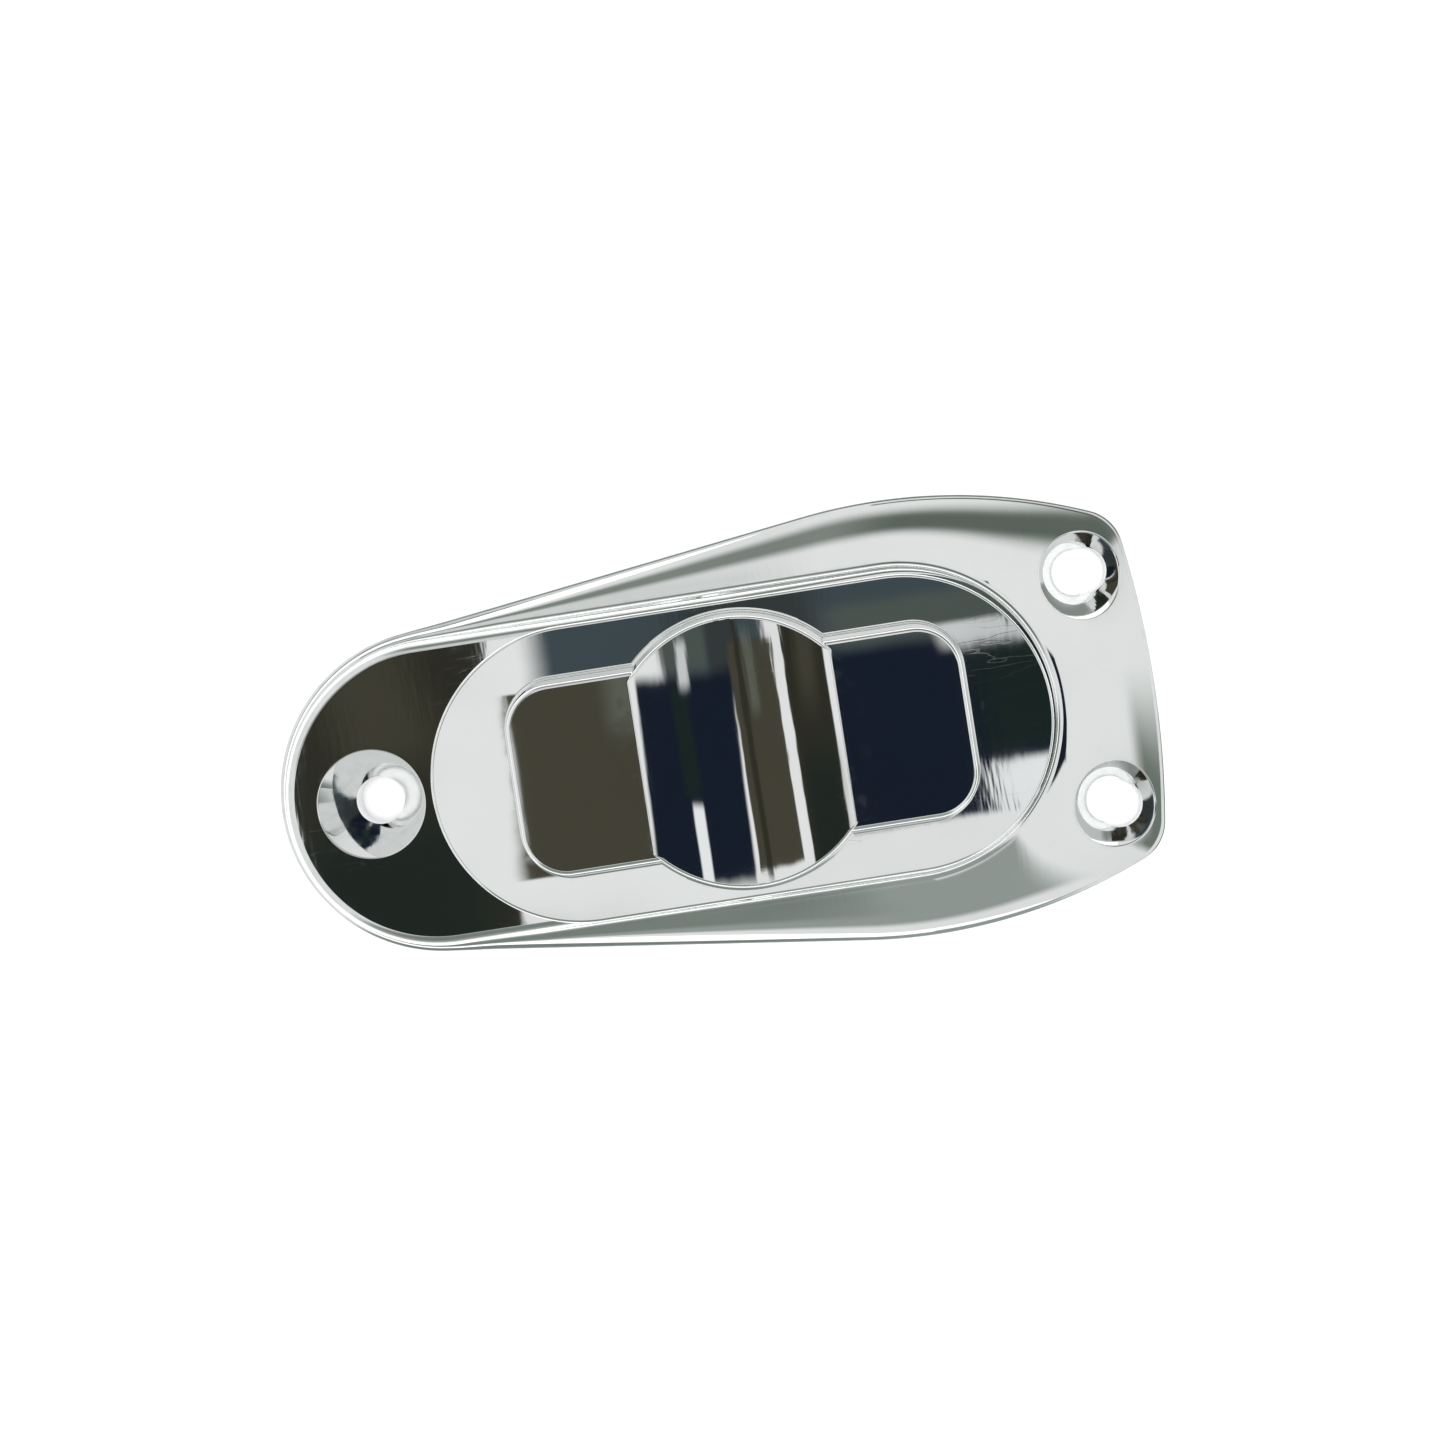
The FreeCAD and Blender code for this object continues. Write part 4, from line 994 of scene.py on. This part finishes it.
def build_light():
    """Broad soft light from above, kept out of the mirror surfaces."""
    data = bpy.data.lights.new("soft_light", "SUN")
    data.energy = LIGHT_ENERGY
    data.angle = LIGHT_ANGLE
    light = bpy.data.objects.new("soft_light", data)
    light.visible_glossy = False
    bpy.context.scene.collection.objects.link(light)


def build_camera():
    """Camera straight above, turned so that the base rises to the right."""
    data = bpy.data.cameras.new("camera")
    data.lens = CAMERA_LENS
    data.sensor_width = 36.0
    data.shift_x = CAMERA_SHIFT[0]
    data.shift_y = CAMERA_SHIFT[1]
    data.clip_start = 0.001
    camera = bpy.data.objects.new("camera", data)
    bpy.context.scene.collection.objects.link(camera)
    camera.location = Vector(CAMERA_PLACE) * MM
    camera.rotation_euler = (0.0, 0.0, -CAMERA_TURN)
    bpy.context.scene.camera = camera


CHROME_TONE = (0.845, 0.853, 0.85)
CHROME_SHADE = (0.80, 0.81, 0.806)
CHROME_EDGE = (0.62, 0.63, 0.63)
DUST_COLOUR = (0.75, 0.74, 0.70)
CHROME_SWELL = 0.014
CHROME_RIPPLE = 0.0035
SURROUND_NEAR = (0.88, 0.89, 0.885)
SURROUND_FAR = (0.85, 0.868, 0.856)
CARD_WAVER = 0.35
CARD_WAVER_SCALE = 14.0
CARD_WAVER_DETAIL = 3.0
ZENITH_GUARD = 1e-5
NEAR_ZENITH = 10.0
FAR_FROM_ZENITH = 75.0
LIGHT_ENERGY = 3.0
LIGHT_ANGLE = radians(70)

NAVY = (0.010, 0.015, 0.028)
SLATE = (0.055, 0.075, 0.088)
OLIVE = (0.066, 0.062, 0.044)
DEEP_OLIVE = (0.030, 0.030, 0.022)
GREY_OLIVE = (0.15, 0.165, 0.135)
BOTTLE_GREEN = (0.012, 0.022, 0.020)
GREY_GREEN = (0.17, 0.20, 0.175)
DARK_GREEN = (0.085, 0.105, 0.09)
PALE_GREEN = (0.33, 0.37, 0.35)
PALE_CARD = (0.90, 0.915, 0.92)

# left, right, low and high in degrees, softness of the edge, sideways lean, colour, share
CEILING_CARDS = (
    (-9.8, 13.2, -2.6, 7.5, 0.8, 0.0, SLATE, 1.0),
    (-3.5, 3.0, -2.0, 7.0, 1.2, 0.0, DEEP_OLIVE, 0.6),
    (3.4, 13.8, -1.0, 3.6, 0.9, 0.0, DARK_GREEN, 0.85),
    (-11.2, -1.5, -9.95, 0.0, 0.15, 0.0, OLIVE, 1.0),
    (-6.8, -5.0, -3.0, 0.6, 0.6, 0.0, GREY_OLIVE, 0.6),
    (-4.2, -3.0, -10.4, 1.2, 0.3, 0.0, DEEP_OLIVE, 0.9),
    (-1.6, 19.8, -10.4, -1.1, 0.4, 0.12, NAVY, 1.0),
    (8.9, 12.5, -6.4, -1.4, 0.5, 0.0, BOTTLE_GREEN, 0.95),
    (9.0, 11.4, -10.9, -6.9, 0.25, 0.0, PALE_CARD, 1.0),
    (7.7, 9.9, -1.6, 0.4, 0.4, 0.3, PALE_CARD, 0.7),
    (-22.5, -13.45, -13.0, 14.0, 0.15, 0.0, DEEP_OLIVE, 1.0),
    (-22.5, -14.4, -13.0, -5.5, 1.6, 0.0, BOTTLE_GREEN, 0.7),
    (-20.5, -16.5, -3.0, 7.0, 1.5, 0.2, OLIVE, 0.8),
)
# bearing from and to, off the zenith from and to, in degrees, softness of the edge, colour, share
WALL_CARDS = (
    (10.0, 118.0, 44.0, 74.0, 9.0, GREY_GREEN, 0.9),
    (15.0, 85.0, 48.0, 68.0, 6.0, DARK_GREEN, 0.75),
    (-140.0, -66.0, 21.0, 78.0, 5.0, PALE_GREEN, 1.0),
    (-135.0, -92.0, 22.0, 60.0, 8.0, GREY_GREEN, 0.75),
    (-48.0, -8.0, 62.0, 86.0, 6.0, GREY_GREEN, 1.0),
    (130.0, 180.0, 22.0, 34.0, 5.0, GREY_GREEN, 0.8),
    (100.0, 135.0, 14.0, 45.0, 8.0, PALE_GREEN, 0.3),
)

CAMERA_PLACE = (6.0, 11.5, 150.0)
CAMERA_TURN = radians(8.85)
CAMERA_LENS = 32.1
CAMERA_SHIFT = (-0.022, -0.057)

# slot: metallic, tone, shade, roughness, grain scale, grain stretch, depth of the grain in millimetres
WORKED_FINISHES = {
    "bush_bronze": (1.0, (0.50, 0.30, 0.12), (0.36, 0.21, 0.09), 0.48, 4500.0, 1.0, 0.02),
    "seal_rubber": (0.0, (0.018, 0.018, 0.018), (0.032, 0.031, 0.030), 0.55, 5200.0, 1.0, 0.006),
    "slip_plastic": (0.0, (0.78, 0.78, 0.75), (0.70, 0.70, 0.67), 0.42, 3000.0, 1.0, 0.004),
    "pin_steel": (1.0, (0.46, 0.46, 0.47), (0.38, 0.38, 0.39), 0.28, 3200.0, 8.0, 0.003),
    "carrier_plastic": (0.0, (0.020, 0.020, 0.022), (0.030, 0.030, 0.032), 0.50, 4200.0, 1.0, 0.015),
    "spring_steel": (1.0, (0.30, 0.32, 0.38), (0.22, 0.24, 0.30), 0.26, 2600.0, 9.0, 0.002),
    "cover_zinc": (1.0, (0.58, 0.59, 0.60), (0.47, 0.48, 0.50), 0.34, 1500.0, 7.0, 0.004),
    "screw_zinc": (1.0, (0.62, 0.62, 0.60), (0.50, 0.50, 0.48), 0.26, 2600.0, 3.0, 0.003),
    "spindle_steel": (1.0, (0.44, 0.44, 0.44), (0.33, 0.33, 0.34), 0.24, 3400.0, 6.0, 0.003),
    "cam_steel": (1.0, (0.36, 0.36, 0.37), (0.26, 0.26, 0.27), 0.38, 2800.0, 1.0, 0.006),
    "washer_steel": (1.0, (0.52, 0.52, 0.53), (0.42, 0.42, 0.43), 0.32, 3000.0, 2.0, 0.004),
    "wear_plastic": (0.0, (0.82, 0.81, 0.76), (0.74, 0.73, 0.68), 0.46, 3200.0, 1.0, 0.006),
}


def main():
    """Builds both castings, gives every part its finish, and sets the stage."""
    bpy.context.scene.view_settings.view_transform = "Standard"
    groups = {"grain": grain_group(), "scuffs": scuff_group(), "specks": speck_group(),
              "ripples": ripple_group()}
    base = build_base()
    base.data.materials.append(chrome_material("chrome_base", groups, CHROME_TONE, CHROME_SHADE))
    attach(base, "base")
    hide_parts("base_casting")
    handle = build_handle()
    handle.data.materials.append(chrome_material("chrome_lever", groups, CHROME_TONE, CHROME_SHADE))
    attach(handle, "lever")
    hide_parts("handle_casting")
    finishes = {slot: worked_material(slot, groups, *values) for slot, values in WORKED_FINISHES.items()}
    for part in frame["record"]["subparts"]:
        if part["material_slot"] in finishes:
            slots = frame["nodes"][part["node"]].data.materials
            slots.clear()
            slots.append(finishes[part["material_slot"]])
    build_floor()
    build_world()
    build_light()
    build_camera()


main()
